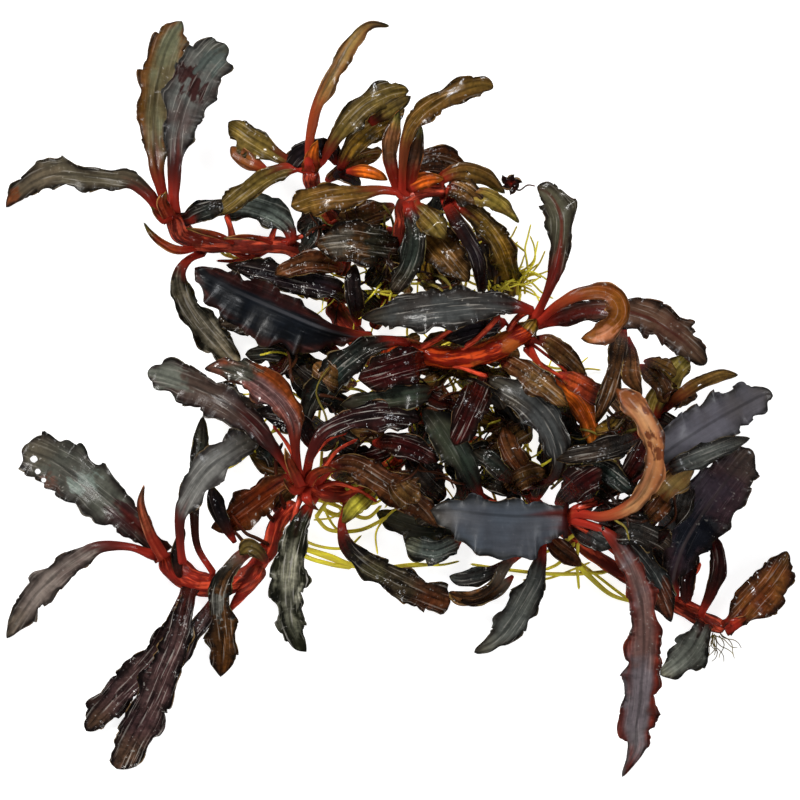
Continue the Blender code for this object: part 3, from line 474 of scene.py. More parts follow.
# Lowest leaf
# Leaf stalk and blade are one flexible sheet: a round red stalk that flattens into a glossy, leathery
# blade with a groove over the midrib and ruffled margins. This one lies flat under all the others.
TIP_HALF_WIDTH, STALK_WIDTH, FULL_RIPPLE_WIDTH, HALF_THICKNESS = 0.3, 1.0, 3.0, 0.12
RIPPLE, SCALLOP, CRENEL, QUILT = 5.0, 0.06, 3.3, 2.3
SHOULDER_WIDTH, GROOVE_WIDTH, RIB_WIDTH = 1.3, 0.42, 0.5
GAP, REST_GAP, SETTLE_REACH, ANCHOR_LENGTH = 0.3, 0.7, 14.0, 6.0
ROOTING_REACH, ROOTED_ROWS = 4.5, 7
STEM_SIDES, NODE_SPACING, NODE_SWELL, ROOT_SIDES = 8, 3.2, 0.07, 6
CELL, MAP_HALF_WIDTH = 0.5, 84.0
cells = round(2 * MAP_HALF_WIDTH / CELL)
pile, crowd = np.zeros((cells, cells)), np.zeros((cells, cells))


def tube_rings(route, shares, sides, swell=0.0):
    """Rings of a round stem as the solid has them, each with a flat facet underneath."""
    curve = smooth_route(route, shares)
    angles = 2 * math.pi * (np.arange(sides) + 0.5) / sides
    radii = curve[:, 3] * (1 + swell)
    radii[[0, -1]] *= 0.8
    return curve[:, None, :3] + around(*frames_along(curve[:, :3]), angles) * radii[:, None, None]


def blade_share(half):
    """0 on the stalk, 1 where the half width lets the margin ripple fully."""
    return np.clip((half - STALK_WIDTH) / (FULL_RIPPLE_WIDTH - STALK_WIDTH), 0, 1)


def ripple_count(route):
    """How many big ripples run along a leaf's margin."""
    return max(1, round(route_length(route) / RIPPLE))


def leaf_rings(route, foot, cup, wave, roll):
    """The solid's cross-sections of four points: a margin, the midrib's top, the other margin, its foot."""
    ripples = ripple_count(route)
    shares = np.linspace(0, 1, 2 * ripples + 1)
    curve = smooth_route(route, foot + (1 - foot) * shares)
    line = curve[:, :3]
    side, face = frames_along(line, roll)
    depth = np.interp(shares, [0, 0.35, 1], [0.6, 0.42, 0.18])
    margins = []
    for hand, half in ((-1, curve[:, 3]), (1, curve[:, 4])):
        half = np.maximum(half, TIP_HALF_WIDTH)
        ripple = np.cos(2 * math.pi * ripples * shares) * blade_share(half)
        reach = half * (1 + SCALLOP * hand * ripple)
        lift = cup * np.maximum(half - STALK_WIDTH, 0) + hand * wave * ripple
        margins.append(line + side * (hand * reach)[:, None] + face * lift[:, None])
    left, right = margins
    return np.stack([left, line + face * depth[:, None], right, line - face * depth[:, None]], axis=1)


def foot_share(route, stem):
    """The share of the route at which the stalk is clear of the stem that it grows from."""
    middle = smooth_route(stem, np.linspace(0, 1, 80))
    shares = np.linspace(0, 0.6, 240)
    line = smooth_route(route, shares)[:, :3]
    room = np.linalg.norm(line[:, None] - middle[None, :, :3], axis=2) - middle[:, 3] * (1 + NODE_SWELL)
    inside = room.min(axis=1) < route[0][3] + GAP
    return shares[inside][-1] if inside.any() else 0.0


def surface_samples(rings):
    """Points spread over the skin of a ringed piece, with the number of the ring that each follows."""
    following = np.roll(rings, -1, axis=1)
    grid = np.linspace(0, 1, 9)
    across = rings[:, :, None] + (following - rings)[:, :, None] * grid[None, None, :, None]
    across = across.reshape(len(rings), -1, 3)
    between = across[:-1, :, None] + np.diff(across, axis=0)[:, :, None] * grid[None, None, :, None]
    station = np.broadcast_to(np.arange(len(rings) - 1)[:, None, None], between.shape[:3])
    return between.reshape(-1, 3), station.ravel()


def cells_of(points):
    """The column and row of the height map's cell that each point is over."""
    return tuple(np.floor((points[:, :2] + MAP_HALF_WIDTH) / CELL).astype(int).T)


def highest_near(heights, points):
    """The height map's highest value in the three by three cells round each point."""
    column, row = cells_of(points)
    return np.max([heights[column + i, row + j] for i in (-1, 0, 1) for j in (-1, 0, 1)], axis=0)


def stamp(rings, *maps):
    """Raises the height maps to the top of a piece."""
    points, _ = surface_samples(rings)
    for heights in maps:
        np.maximum.at(heights, cells_of(points), points[:, 2])


def lay(heights, rings):
    """The lift of each ring that clears what lies below; it fades along the leaf, and the foot stays."""
    points, station = surface_samples(rings)
    under = highest_near(heights, points)
    short = np.zeros(len(rings))
    lacking = under + np.where(under > 0, REST_GAP, 0) - points[:, 2]
    np.maximum.at(short, station, lacking)
    np.maximum.at(short, station + 1, lacking)
    length = length_along(rings.mean(axis=1))
    apart = np.minimum(np.abs(length[:, None] - length[None]) / SETTLE_REACH, 1)
    lift = (np.maximum(short, 0)[None] * (0.5 + 0.5 * np.cos(math.pi * apart))).max(axis=1)
    anchored = np.clip(length / ANCHOR_LENGTH, 0, 1)
    return lift * anchored**2 * (3 - 2 * anchored)


def leaf_spine(route, stem, foot, lift, roll, rooted, step, draw):
    """The midrib's length and, row by row, the distance and share along it, place, side, face and widths.

    The rows follow the route, raised by the lift, and the blade twists slowly about them. A rooted leaf
    starts a few rows earlier, on its stem's axis, and the last column, the flare, widens it there: it is
    1 + e^(-d / 1.6) / 2.
    """
    length = length_along(smooth_route(route, foot + (1 - foot) * np.linspace(0, 1, 90))[:, :3])[-1]
    share = np.linspace(0, 1, max(28, round(length / step)))
    along = share * length
    curve = smooth_route(route, foot + (1 - foot) * share)
    twist = 0.16 * waver(along, (37.0, 17.0), draw)[:, None] * smoothstep(along, 4.0, 12.0)[:, None]
    side, face = turned(*frames_along(curve[:, :3], roll), twist)
    window = np.hanning(9) / np.hanning(9).sum()
    raised = np.pad(np.interp(share, np.linspace(0, 1, len(lift)), lift), 4, mode="edge")
    line = curve[:, :3] + np.convolve(raised, window, mode="valid")[:, None] * (0, 0, 1)
    widths, flare = curve[:, 3:5], np.ones(len(line))
    axis = smooth_route(stem_routes[stem], np.linspace(0, 1, 120))[:, :3]
    apart = np.linalg.norm(axis - line[0], axis=1)
    if rooted and apart.min() < ROOTING_REACH:
        reach = np.linspace(0, 1, ROOTED_ROWS + 1)[:-1, None]
        start = axis[apart.argmin()]
        line = np.vstack([start + (line[0] - start) * reach, line])
        side, face, widths = (np.vstack([np.repeat(rows[:1], ROOTED_ROWS, axis=0), rows])
                              for rows in (side, face, widths))
        along = np.concatenate([along[0] - apart.min() * (1 - reach[:, 0]), along])
        share = np.concatenate([np.zeros(ROOTED_ROWS), share])
        flare = 1 + 0.5 * np.exp(-np.maximum(along + apart.min() * 0.4, 0) / 1.6)
    return length, along, share, line, side, face, widths, flare


def grow_leaf(name, stem, look, route, cup=0.18, wave=0.6, roll=0.0, ruffle=1.15, rooted=True):
    """One leaf on a grid of s along the midrib and v across, from -1 at the left margin to 1 at the right.

    A point of the route is its place and the half width, or the half widths left and right of the midrib.
    Height over the midrib is cup (w - 1) |v|^1.7 for the trough, wave cos(2 pi n s) |v|^2.4 for the big
    ripples and sin(2 pi s / c) |v|^4.5 for the small scallops, where w is the half width. The stalk is an
    oval 0.8 w deep; it thins into a blade of 0.24 with a groove above the midrib and a rib below.
    """
    draw = np.random.default_rng(zlib.crc32(name.encode()))
    route = [(*point, point[3])[:5] for point in route]
    foot = foot_share(route, stem_routes[stem]) if rooted else 0.0
    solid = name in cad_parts
    coarse = leaf_rings(route, foot, cup, wave, roll)
    lift = lay(pile if solid else crowd, coarse)
    stamp(coarse + lift[:, None, None] * (0, 0, 1), *((pile, crowd) if solid else (crowd,)))

    step, above, below = (0.5, 19, 15) if solid else (0.7, 13, 9)
    length, along, share, line, side, face, widths, flare = leaf_spine(
        route, stem, foot, lift, roll, rooted, step, draw)
    v = np.sin(np.concatenate([np.linspace(-math.pi / 2, math.pi / 2, above),
                               np.linspace(math.pi / 2, -math.pi / 2, below)[1:-1]]))[None]
    upper = (np.arange(v.size) < above)[None]
    hand = np.where(v < 0, -1.0, 1.0)
    to_tip = np.clip((length - along) / max(1.3, 0.9 * route[-1][3]), 0, 1)
    narrow = flare * np.sqrt(1 - (1 - to_tip) ** 2)
    half = np.where(v < 0, *np.maximum(widths, TIP_HALF_WIDTH).T[..., None]) * narrow[:, None] + 1e-4
    s, share, x = along[:, None], share[:, None], np.abs(v)
    blade = blade_share(half)

    drift = [waver(along, (19.0, 8.3, 5.1), draw) for _ in range(4)]
    side_drift = np.where(v < 0, drift[0][:, None], drift[1][:, None])
    swing = 0.8 + 0.45 * np.where(v < 0, drift[2][:, None], drift[3][:, None])
    big = np.cos(2 * math.pi * ripple_count(route) * share + 0.8 * side_drift) * swing
    turn = math.pi * (s / CRENEL + 0.6 * side_drift)
    lobes = np.sqrt(np.cos(turn) ** 2 + 0.06)
    deep = ruffle * np.clip(0.75 + 0.5 * waver(s + 40 * (v < 0), (13.0, 6.1), draw), 0.15, 1.5)
    bay = waver(s + 60 * (v < 0), (9.7, 6.9), draw)
    margin = SCALLOP * hand * big * half + 0.45 * deep * (lobes - 0.7) + 0.45 * ruffle * bay
    across = v * (half + margin * blade * x**3)
    shape = cup * np.maximum(half - STALK_WIDTH, 0) * x**1.7 + blade * (
        hand * wave * big * x**2.4 + 0.5 * deep * np.sin(2 * turn + 1.0) * x**4.5
        + 0.16 * waver(s + 2 * v, (7.1, 11.0), draw) * x)

    flat, distance, rib = smoothstep(half, 0.9, 2.2), v * half, 1 - share**2
    thick = HALF_THICKNESS * np.sqrt(1 - x**6)
    quilt = 0.006 * np.cos(2 * math.pi * (s - 1.2 * np.abs(distance)) / QUILT) * np.sin(math.pi * x)
    groove = 0.1 * rib * bell(distance, SHOULDER_WIDTH) - 0.2 * rib * bell(distance, GROOVE_WIDTH)
    top = flat * (thick + quilt + groove)
    bottom = flat * (thick - quilt + 0.34 * rib * bell(distance, RIB_WIDTH))
    stalk = (1 - flat) * 0.8 * half * np.sqrt(1 - x**2)
    height = shape + np.where(upper, top + stalk, -bottom - stalk)
    rings = line[:, None] + side[:, None] * across[..., None] + face[:, None] * height[..., None]
    rings[..., 2] = np.maximum(rings[..., 2], np.where(upper, HALF_THICKNESS, TABLE_CLEARANCE))
    facts = np.broadcast_arrays(s, distance, half * (1 - x), share, half, 0.0)
    skin(name, [(rings, np.stack(facts, axis=-1))], *look)


RED, WINE, DARK_WINE = (0.22, 0.014, 0.007), (0.075, 0.009, 0.006), (0.03, 0.006, 0.004)
# how wrinkled and how glossy a blade is, and how strong its mottling and its painted sheen and shading are
crumpled = dict(folds=0.9, crinkle=0.85, contrast=1)
crushed = dict(folds=0.9, crinkle=0.9, contrast=0.9)
matt = dict(folds=0.45, crinkle=0.15, contrast=0.5, rough=0.28)


def leaf_look(name, slot, face, patch, tip, edge, blush=DARK_WINE, patchy=0.7, base=0.36, silver=0.15,
              specks_and_glints=0.6, contrast=0.8, rough=0.13, folds=0.4, crinkle=0.35, groove=0.4,
              side=(0.012, 0.007, 0.005), sides=0.8, wide=(2.2, 0.5), rib=None, stalk=(0.3, 0.02, 0.011),
              flank=None, stains_and_light_spots=(), holes=()):
    """The skin of a leaf: patches on the blade, red towards the stalk, and painted light: silvery streaks
    that are painted wet reflections, bright specks, and painted shadow along the margins, in the hollows of
    the bumps and in the midrib's groove.

    Face, patch and tip are the blade's colours. Edge is the rim's, partly the margin's own pale tint and
    partly a painted glint; side is that of the zone along the margins, partly the blade's own dark margin
    and partly painted shadow of the ruffles. Blush is the red that climbs from the stalk as far as base, a
    share of the length. A flank tints one side, from one distance across to another. Rib is a red midrib on
    some looks and a painted highlight along the midrib on others. A spot is soft and a hole clean, each at
    an x and y and of a radius; most spots are the blade's own marks, one is a painted sheen and one a
    painted shadow in a fold.
    The bright specks are partly the leaf's own silvery dots and partly painted glints.
    """
    paint = Paint(name)
    on_leaf = paint.node("ShaderNodeAttribute", {"attribute_name": "leaf"}, result="Vector")
    share, half = paint.parts(on_leaf, 2)
    off_rib = abs(paint.across)
    cloud = paint.noise(paint.place, 95.0, 3.0)
    grain = paint.noise(paint.place, 1300.0, 1.0)
    crease = paint.noise(paint.place, 620.0, 2.0, 0.5)
    streak = paint.noise(paint.stretched(0.10, 1.1), 1.0, 3.0, 0.55)
    line = paint.noise(paint.stretched(0.10, 2.6), 1.0, 2.0)
    fold = paint.noise(paint.stretched(0.07, 0.55), 1.0, 2.0, 0.45)
    blot = paint.noise(paint.stretched(0.16, 0.5), 1.0, 3.0)
    pleat = paint.noise(paint.stretched(0.5, 0.14), 1.0, 2.0, 0.5)
    outer = off_rib.ease(0.6, 2.4)
    in_plan = paint.multiplied(paint.place, (1 / MM, 1 / MM, 0.0))

    def from_point(x, y):
        """Distance in millimetres from a place, seen from above."""
        return paint.node("ShaderNodeVectorMath", {"operation": "DISTANCE"}, {0: in_plan, 1: (x, y, 0.0)},
                          result="Value")

    colour = paint.mix(cloud.ease(0.44, 0.6) * patchy, face, patch)
    colour = paint.mix((share + 0.5 * cloud).ease(0.98, 1.25), colour, tip)
    if flank:
        tint, start, full = flank
        colour = paint.mix((paint.across + 3 * (blot - 0.5)).ease(start, full), colour, tint)
    # Soft spots of colour: most are the blade's own marks; on grey_green a pale teal one is painted sheen
    # and on grey_teal a near-black one is painted shading in a fold.
    for x, y, radius, spot_colour in stains_and_light_spots:
        ragged = from_point(x, y) + 11 * (blot - 0.5) + 4 * (crease - 0.5)
        colour = paint.mix(ragged.ease(radius, 0.55 * radius), colour, spot_colour)
    climb = share + 0.5 * fold + 0.25 * (cloud - 0.5) - 0.12 * off_rib.ease(2.5, 0.0)
    colour = paint.mix(climb.ease(base + 0.05, base - 0.22), colour, blush)
    # The zone along the margins takes the side colour: partly the blade's own dark margin, partly painted
    # shading of the ruffles that turn away from the light.
    colour = paint.mix(paint.margin.ease(*wide) * blot.ease(0.34, 0.56) * sides, colour, side)

    # Mottled tone from the same noises that raise the bumps, so darker in their hollows: partly the blade's
    # own mottling, partly painted shading.
    tone_and_painted_light = 1 - 0.5 * contrast + contrast * (0.3 * streak.ease(0.3, 0.7) + 0.35 * crease.ease(0.35, 0.65)
                                             + 0.35 * grain.ease(0.35, 0.65))
    # Painted shading: darker along the margins, where the ruffles turn away from the light.
    tone_and_painted_light = tone_and_painted_light * (1 - 0.85 * paint.margin.ease(1.0, 0.25) * streak.ease(0.36, 0.56))
    # Painted shading in the valleys of the pleats that the bump raises near the margins.
    tone_and_painted_light = tone_and_painted_light * (1 - 0.5 * contrast * outer * pleat.ease(0.52, 0.4))
    # Painted sheen: bright streaks along the folds, with painted shading between them.
    tone_and_painted_light = tone_and_painted_light * (1 + 1.5 * contrast * contrast * line.ease(0.5, 0.62) * fold.ease(0.46, 0.56)
                     - 0.4 * contrast * streak.ease(0.5, 0.4))
    # Painted shading in the groove over the midrib.
    colour = paint.scaled(colour, tone_and_painted_light * (1 - groove * off_rib.ease(0.45, 0.12)))
    # A thin pale rim on the margin: partly the margin's own pale tint, partly a painted glint.
    colour = paint.mix(paint.margin.ease(0.25, 0.08) * blot.ease(0.48, 0.6) * 0.8, colour, edge)
    # Rib colour along the midrib: a red midrib on mauve and plum_red, a painted highlight on night and
    # plum_black.
    if rib:
        colour = paint.mix(off_rib.ease(0.5, 0.15) * (1 - share) * 0.8, colour, rib)
    # Painted wet reflections: silvery streaks along the folds, and bright specks that are partly the leaf's
    # own silvery dots and partly painted glints, all mixed towards pale grey.
    pale = (line.ease(0.56, 0.68) * fold.ease(0.45, 0.55) * silver * 1.3
            + grain.ease(0.66, 0.76) * specks_and_glints * cloud.ease(0.4, 0.6))
    colour = paint.mix(pale * half.ease(1.2, 2.2), colour, (0.30, 0.28, 0.25))

    bare = (half + (streak - 0.5)).ease(1.8, 0.95) * share.ease(0.5, 0.25)
    stalk = paint.scaled(paint.mix(share.ease(0.02, 0.22), stalk, blush), 0.4 + 1.2 * streak)
    paint.set(Base_Color=paint.mix(bare, colour, stalk), Roughness=rough + 0.08 * cloud.ease(0.4, 0.7))
    paint.relief(fold + 0.2 * streak + crinkle * (crease + 0.2 * grain) + 0.7 * outer * pleat, folds, 0.6)
    whole = 1.0
    for x, y, radius in holes:
        whole = (from_point(x, y) + 0.5 * (grain - 0.5)).ease(radius - 0.08, radius + 0.08) * whole
    if holes:
        paint.set(Alpha=whole)
    return paint.material, slot


stem_rings = {}
for name, route in stem_routes.items():
    count = 2 * round(route_length(route) / NODE_SPACING) + 1
    swell = 0 if name == "rhizome_main" else NODE_SWELL * (-1.0) ** np.arange(count)
    stem_rings[name] = tube_rings(route, np.linspace(0, 1, count), STEM_SIDES, swell)
for name in ("rhizome_main", "rhizome_se_low", "rhizome_far_east"):
    stamp(stem_rings[name], pile, crowd)
for name in ("root_south", "root_west"):
    stamp(tube_rings(root_routes[name], np.linspace(0, 1, 12), ROOT_SIDES), pile, crowd)

deep_green = leaf_look("deep_green", "leaf_green", (0.026, 0.036, 0.025), (0.032, 0.034, 0.019),
    (0.045, 0.038, 0.024), (0.13, 0.1, 0.04), silver=0.15, specks_and_glints=0.3, contrast=0.4, rough=0.25, folds=0.4,
    crinkle=0.2, stains_and_light_spots=((-1, -25, 6.5, (0.048, 0.047, 0.034)), (-3.5, -31, 2.2, (0.06, 0.02, 0.008))))
grow_leaf("leaf_low_green", "rhizome_se", deep_green, [
    (14.6, -20.8, 5.4, 0.8), (10.4, -25.1, 4.8, 2.2), (5, -25.7, 3.5, 3.8), (0.6, -24.7, 2, 3.2, 3),
    (-4.8, -22.7, 0.5, 0.6, 0.5),
], wave=0.5, roll=5)


# Old leaves in the heart
# Below the crowns lie the clump's older and smaller leaves, dark, limp and pressed together. Each is laid
# on the one before it. A row gives the look, foot, tip, sideways bend, half width and height of one leaf.
def old_leaf(number, look, x0, y0, x1, y1, bend, width, low, high):
    """A leaf along a bow: the chord plus bend sin(pi t) to the left, half width w sin(pi t)^0.6."""
    t = np.array([0.0, 0.22, 0.5, 0.76, 0.93, 1.0])
    chord = np.array((x1 - x0, y1 - y0))
    left = np.array((-chord[1], chord[0])) / np.linalg.norm(chord)
    centre = np.array((x0, y0)) + t[:, None] * chord + left * (bend * np.sin(math.pi * t))[:, None]
    half = width * np.array([0.25, 0.75, 1.0, 0.85, 0.5, 0.1])
    height = low + (high - low) * np.sin(math.pi * t**0.8)
    route = np.column_stack([centre, height, half]).tolist()
    grow_leaf(f"heart_leaf_{number:02}", "rhizome_main", look, route,
              cup=0.15 + 0.3 * (number % 3 == 0), wave=0.9, roll=20 * (number % 5 - 2), ruffle=1.7)


slate = leaf_look("slate", "leaf_slate", (0.085, 0.09, 0.079), (0.056, 0.062, 0.062),
    (0.122, 0.11, 0.079), (0.1, 0.075, 0.04), silver=0.4, contrast=0.5, rough=0.22, folds=0.5,
    crinkle=0.3)
teal = leaf_look("teal", "leaf_green", (0.107, 0.127, 0.11), (0.066, 0.08, 0.071), (0.141, 0.147, 0.098),
    (0.17, 0.14, 0.06), silver=0.35, **crumpled)
bottle = leaf_look("bottle", "leaf_green", (0.018, 0.023, 0.018), (0.026, 0.022, 0.013),
    (0.045, 0.032, 0.02), (0.15, 0.12, 0.04), silver=0.3, **crumpled)
moss = leaf_look("moss", "leaf_green", (0.08, 0.03, 0.007), (0.052, 0.022, 0.007), (0.105, 0.036, 0.008),
    (0.24, 0.16, 0.06), (0.1, 0.08, 0.06), silver=0.5,
    stains_and_light_spots=((-37.5, -33.7, 5.5, (0.012, 0.013, 0.009)), (-36, -41.7, 2.6, (0.09, 0.085, 0.07))),
    **crumpled)
lime = leaf_look("lime", "leaf_olive", (0.46, 0.4, 0.04), (0.22, 0.17, 0.02), (0.46, 0.38, 0.05),
    (0.2, 0.12, 0.03), (0.12, 0.05, 0.01), side=(0.08, 0.06, 0.012), sides=0.5)
graphite = leaf_look("graphite", "leaf_black", (0.024, 0.021, 0.018), (0.03, 0.018, 0.012),
    (0.05, 0.034, 0.02), (0.22, 0.15, 0.06), silver=0.4, specks_and_glints=0.3, **crushed)
black = leaf_look("black", "leaf_black", (0.013, 0.02, 0.017), (0.02, 0.014, 0.011),
    (0.026, 0.026, 0.018), (0.16, 0.11, 0.045), silver=0.5, **crushed)
soot = leaf_look("soot", "leaf_black", (0.036, 0.04, 0.038), (0.02, 0.018, 0.018), (0.038, 0.044, 0.04),
    (0.16, 0.11, 0.045), silver=0.7, stains_and_light_spots=((53, -40.7, 4.5, (0.09, 0.026, 0.012)),), **crushed)
maroon = leaf_look("maroon", "leaf_maroon", (0.023, 0.002, 0.002), (0.015, 0.003, 0.002),
    (0.037, 0.004, 0.003), (0.2, 0.11, 0.05), (0.05, 0.006, 0.004), base=0.5, silver=0.45, **crumpled)
umber = leaf_look("umber", "leaf_umber", (0.06, 0.022, 0.007), (0.03, 0.01, 0.004), (0.098, 0.038, 0.012),
    (0.26, 0.15, 0.05), WINE, silver=0.35, side=(0.1, 0.024, 0.007), sides=0.5, **crumpled)
cinnamon = leaf_look("cinnamon", "leaf_umber", (0.105, 0.052, 0.015), (0.06, 0.024, 0.01),
    (0.15, 0.076, 0.02), (0.3, 0.19, 0.06), WINE, silver=0.45, side=(0.1, 0.03, 0.009), sides=0.5,
    **crushed)
olive_brown = leaf_look("olive_brown", "leaf_olive", (0.234, 0.124, 0.014), (0.101, 0.062, 0.012),
    (0.354, 0.191, 0.03), (0.3, 0.18, 0.04), (0.09, 0.014, 0.006), silver=0.3, **crumpled)
ochre = leaf_look("ochre", "leaf_ochre", (0.137, 0.073, 0.014), (0.091, 0.04, 0.008),
    (0.162, 0.101, 0.018), (0.22, 0.12, 0.025), (0.14, 0.03, 0.01), silver=0.22,
    side=(0.08, 0.034, 0.008), sides=0.6)
tan = leaf_look("tan", "leaf_amber", (0.26, 0.165, 0.05), (0.214, 0.079, 0.018), (0.181, 0.153, 0.038),
    (0.27, 0.13, 0.035), (0.22, 0.035, 0.01), base=0.55, silver=0.2, contrast=0.4, rough=0.25, groove=0.2,
    side=(0.15, 0.045, 0.012), sides=0.7)
amber_brown = leaf_look("amber_brown", "leaf_umber", (0.1, 0.046, 0.01), (0.054, 0.022, 0.006),
    (0.13, 0.07, 0.02), (0.15, 0.08, 0.02), (0.09, 0.014, 0.006), silver=0.3, **crumpled)

for number, row in enumerate((
    # under the north crowns
    (cinnamon, -14.5, 43.5, -3.5, 49.5, 1, 2.6, 9, 12), (graphite, -9, 37, -20.5, 33.5, -1, 3.2, 7, 10),
    (cinnamon, -1.5, 38.5, -12.5, 36, 1, 2.8, 8, 12), (black, -2, 34, -6.5, 22.5, 1.5, 3, 6, 9),
    (graphite, -3, 33, -1, 20.5, 1, 2.6, 4, 8), (olive_brown, 2, 33, 5.5, 21.5, 1, 3.2, 5, 9),
    (cinnamon, 13.5, 31, 10, 20.5, -1, 3, 3, 6), (graphite, 15.5, 33.5, 18.5, 20.5, 1.2, 2, 6, 10),
    (bottle, 8, 41, 3, 33, 0.8, 2.6, 9, 13), (maroon, -13.5, 45, -8, 42.5, 0.5, 1.8, 8, 12),
    (black, -17, 36.5, -20, 29, 0.8, 2.4, 6, 8), (graphite, -23, 47.5, -17, 49, 0.5, 1.6, 10, 12),
    # left of the middle
    (graphite, -12, 8.5, -37, 15, -3.6, 3.2, 4, 7), (black, -14, 5, -31, 8.8, -1.5, 2.6, 3, 6),
    (graphite, -24, 9, -12, -1, -1, 3.4, 4, 7), (maroon, -22, 8.5, -29, 3.5, 1, 2.4, 6, 9),
    (black, -20, 3, -9.5, -4, 1.2, 2.2, 4, 7), (graphite, -26, -3, -40, 3.5, 1, 2.8, 6, 10),
    (cinnamon, -17, -9.5, -3, -6.5, 0.8, 2.8, 7, 11), (maroon, -15.5, -12.5, -1, -10, -0.8, 2.6, 6, 9),
    (graphite, -2, -7.5, 7, -14.5, 0.6, 3, 5, 9), (cinnamon, -22.5, -14, -30, -8.8, 1.2, 2.6, 8, 11),
    (black, -24.5, -14.5, -28.5, -9, -1, 2.6, 6, 9), (cinnamon, -25, -22.5, -20, -17, 0.8, 2, 6, 9),
    (cinnamon, -13.5, -15.5, -5.5, -16.5, 0.6, 2, 6, 9),
    # the middle
    (cinnamon, -8, 8.5, 4, 12.5, -1, 3, 7, 10), (amber_brown, 4.5, 8.5, 14, 12, 1, 2.8, 8, 11),
    (cinnamon, 14.5, 13, 24, 8.5, -1, 2.8, 9, 12), (olive_brown, 4, 5.5, 16, 5, 1, 2.6, 6, 10),
    (amber_brown, 1.5, 2.5, 11, 6.5, -1, 2.4, 4, 8), (cinnamon, 13.5, 6, 22, 2.5, 1.2, 2.6, 5, 9),
    (maroon, -3, 4, 7.5, -2.5, 1, 3, 4, 8), (graphite, 2, -10, 9, -20, -1, 3.6, 5, 8),
    (cinnamon, -1, -14, 4, -20, -1.2, 3.2, 4, 7), (bottle, 9.5, -12, 13, -21.5, 1, 3, 3, 6),
    (amber_brown, 14, -3, 24, -10, 1.4, 3.2, 6, 9), (graphite, 18, 1.5, 24.5, -8.5, 1.5, 3.2, 7, 10),
    (cinnamon, 26, -4.5, 17, -9, 1, 3, 4, 7), (moss, 17, -13, 26.5, -17, -1.4, 3.2, 3, 7),
    (black, 15, -16, 24, -20.5, 1, 2.6, 3, 6), (graphite, 27, -20, 29, -8, -1.2, 2.8, 4, 8),
    (cinnamon, 16, -10, 26, -13.5, 1.2, 2.4, 6, 9), (black, 2, -6, 12, -12.5, 1, 2.8, 5, 8),
    (cinnamon, 6, 1, 15, -6, 1.2, 2.6, 4, 8), (maroon, 3, 2.5, 13, -1.5, -1, 2.6, 5, 9),
    (graphite, 12, 3, 21, -2, 1, 2.8, 4, 8), (black, 10, -15, 18, -10, 1, 2.6, 4, 8),
    (cinnamon, 20, -19, 29, -14.5, 1, 2.4, 5, 8), (olive_brown, 22, 1, 30, -5, -1, 2.4, 6, 10),
    (cinnamon, 26, 6, 34, -2, 1, 2.4, 6, 10), (black, -10, 0, 0, -5, 1, 2.8, 5, 8),
    (graphite, -18, -4, -8, -9, -1, 2.8, 5, 9), (cinnamon, -9, 3, -17, 7, 1, 2.6, 4, 8),
    (black, -12, 22, -4, 15.5, 1, 2.4, 4, 7), (graphite, 4, 24, 16, 18.5, -1, 2.8, 4, 8),
    (cinnamon, -6, 28, 2, 21, 1, 2.6, 5, 9),
    # the right
    (graphite, 33, 1, 36, -10, -1, 3, 5, 9), (black, 31, -9, 45, -11.5, 1.2, 2.8, 5, 9),
    (graphite, 30, -14.5, 44, -12.5, -1, 3.2, 4, 8), (black, 36, -22.5, 51, -13.5, 1.4, 3.2, 5, 9),
    (graphite, 49.5, -28, 55, -38, 1, 2.4, 3, 6), (maroon, 38, -23.5, 52, -19.5, -1, 3, 4, 8),
    (graphite, 40, -25.5, 54, -29.5, 1.4, 3.2, 5, 9), (graphite, 52, -26, 57, -17, -1.2, 3, 5, 9),
    (cinnamon, 42, 0, 47, -7.5, 1, 2.6, 5, 9), (olive_brown, 44.5, -2, 39, -6.5, 1, 2.2, 6, 9),
    (graphite, 50.5, -3, 60, -13.5, 1.4, 2.8, 5, 9), (cinnamon, 50, -2, 59.5, 0.5, 1, 2, 5, 8),
    (cinnamon, 48, 6.5, 53, -1, 1.2, 2.2, 5, 8), (ochre, 49, 7.5, 55, 4.5, 0.6, 1.8, 5, 8),
    (cinnamon, 31, 8.5, 37, 1, 1, 2.4, 6, 10), (bottle, 42.5, 11, 42, 1, 0.6, 1.6, 6, 10),
    (maroon, 57.5, -41.5, 59.5, -31, 1.2, 1.8, 4, 8),
    # the lower side
    (teal, 12, -28, 1, -28.5, 2.2, 3, 3, 5), (bottle, 14.5, -24, 3, -24.5, -1, 3.4, 2, 4),
    (cinnamon, 15.5, -40, 10, -38.5, 1.2, 1.5, 2, 4), (moss, 22.5, -35.5, 12, -40.5, 1.5, 1.6, 4, 6),
    (graphite, -43.5, -37, -43, -26, 1.4, 1.2, 6, 9),
)):
    old_leaf(number, *row)


# Loose stalks in the heart
# Limp old stalks that have lost their blades, olive or almost black. They lie in all directions over the
# old leaves, each draped on what is below it.
olive_stalk = stem_finish("olive_stalk", (0.12, 0.08, 0.016), (0.06, 0.03, 0.01), (0.05, 0.03, 0.01),
                          (0.2, 0.16, 0.03))
dark_stalk = stem_finish("dark_stalk", (0.016, 0.01, 0.008), (0.01, 0.008, 0.007), (0.02, 0.01, 0.01),
                         (0.045, 0.014, 0.006))


def draped(count, x0, x1, y0, y1):
    """Random routes in a box, each lifted on to the leaves and smoothed so that it spans the hollows."""
    kept = []
    while len(kept) < count:
        route = wander(about(x0, x1 - x0), about(y0, y1 - y0), about(0, 7), about(6, 9), 0, 0,
                       about(0.2, 0.25))
        rows = smooth_route(route, np.linspace(0, 1, 15))
        top = highest_near(crowd, rows)
        if top.min() > 1:
            padded = np.pad(top, 2, mode="edge")
            rows[:, 2] = np.convolve(padded, np.full(5, 0.2), mode="valid") + rows[:, 3] + 0.1
            kept.append(rows[::2].tolist())
    return kept


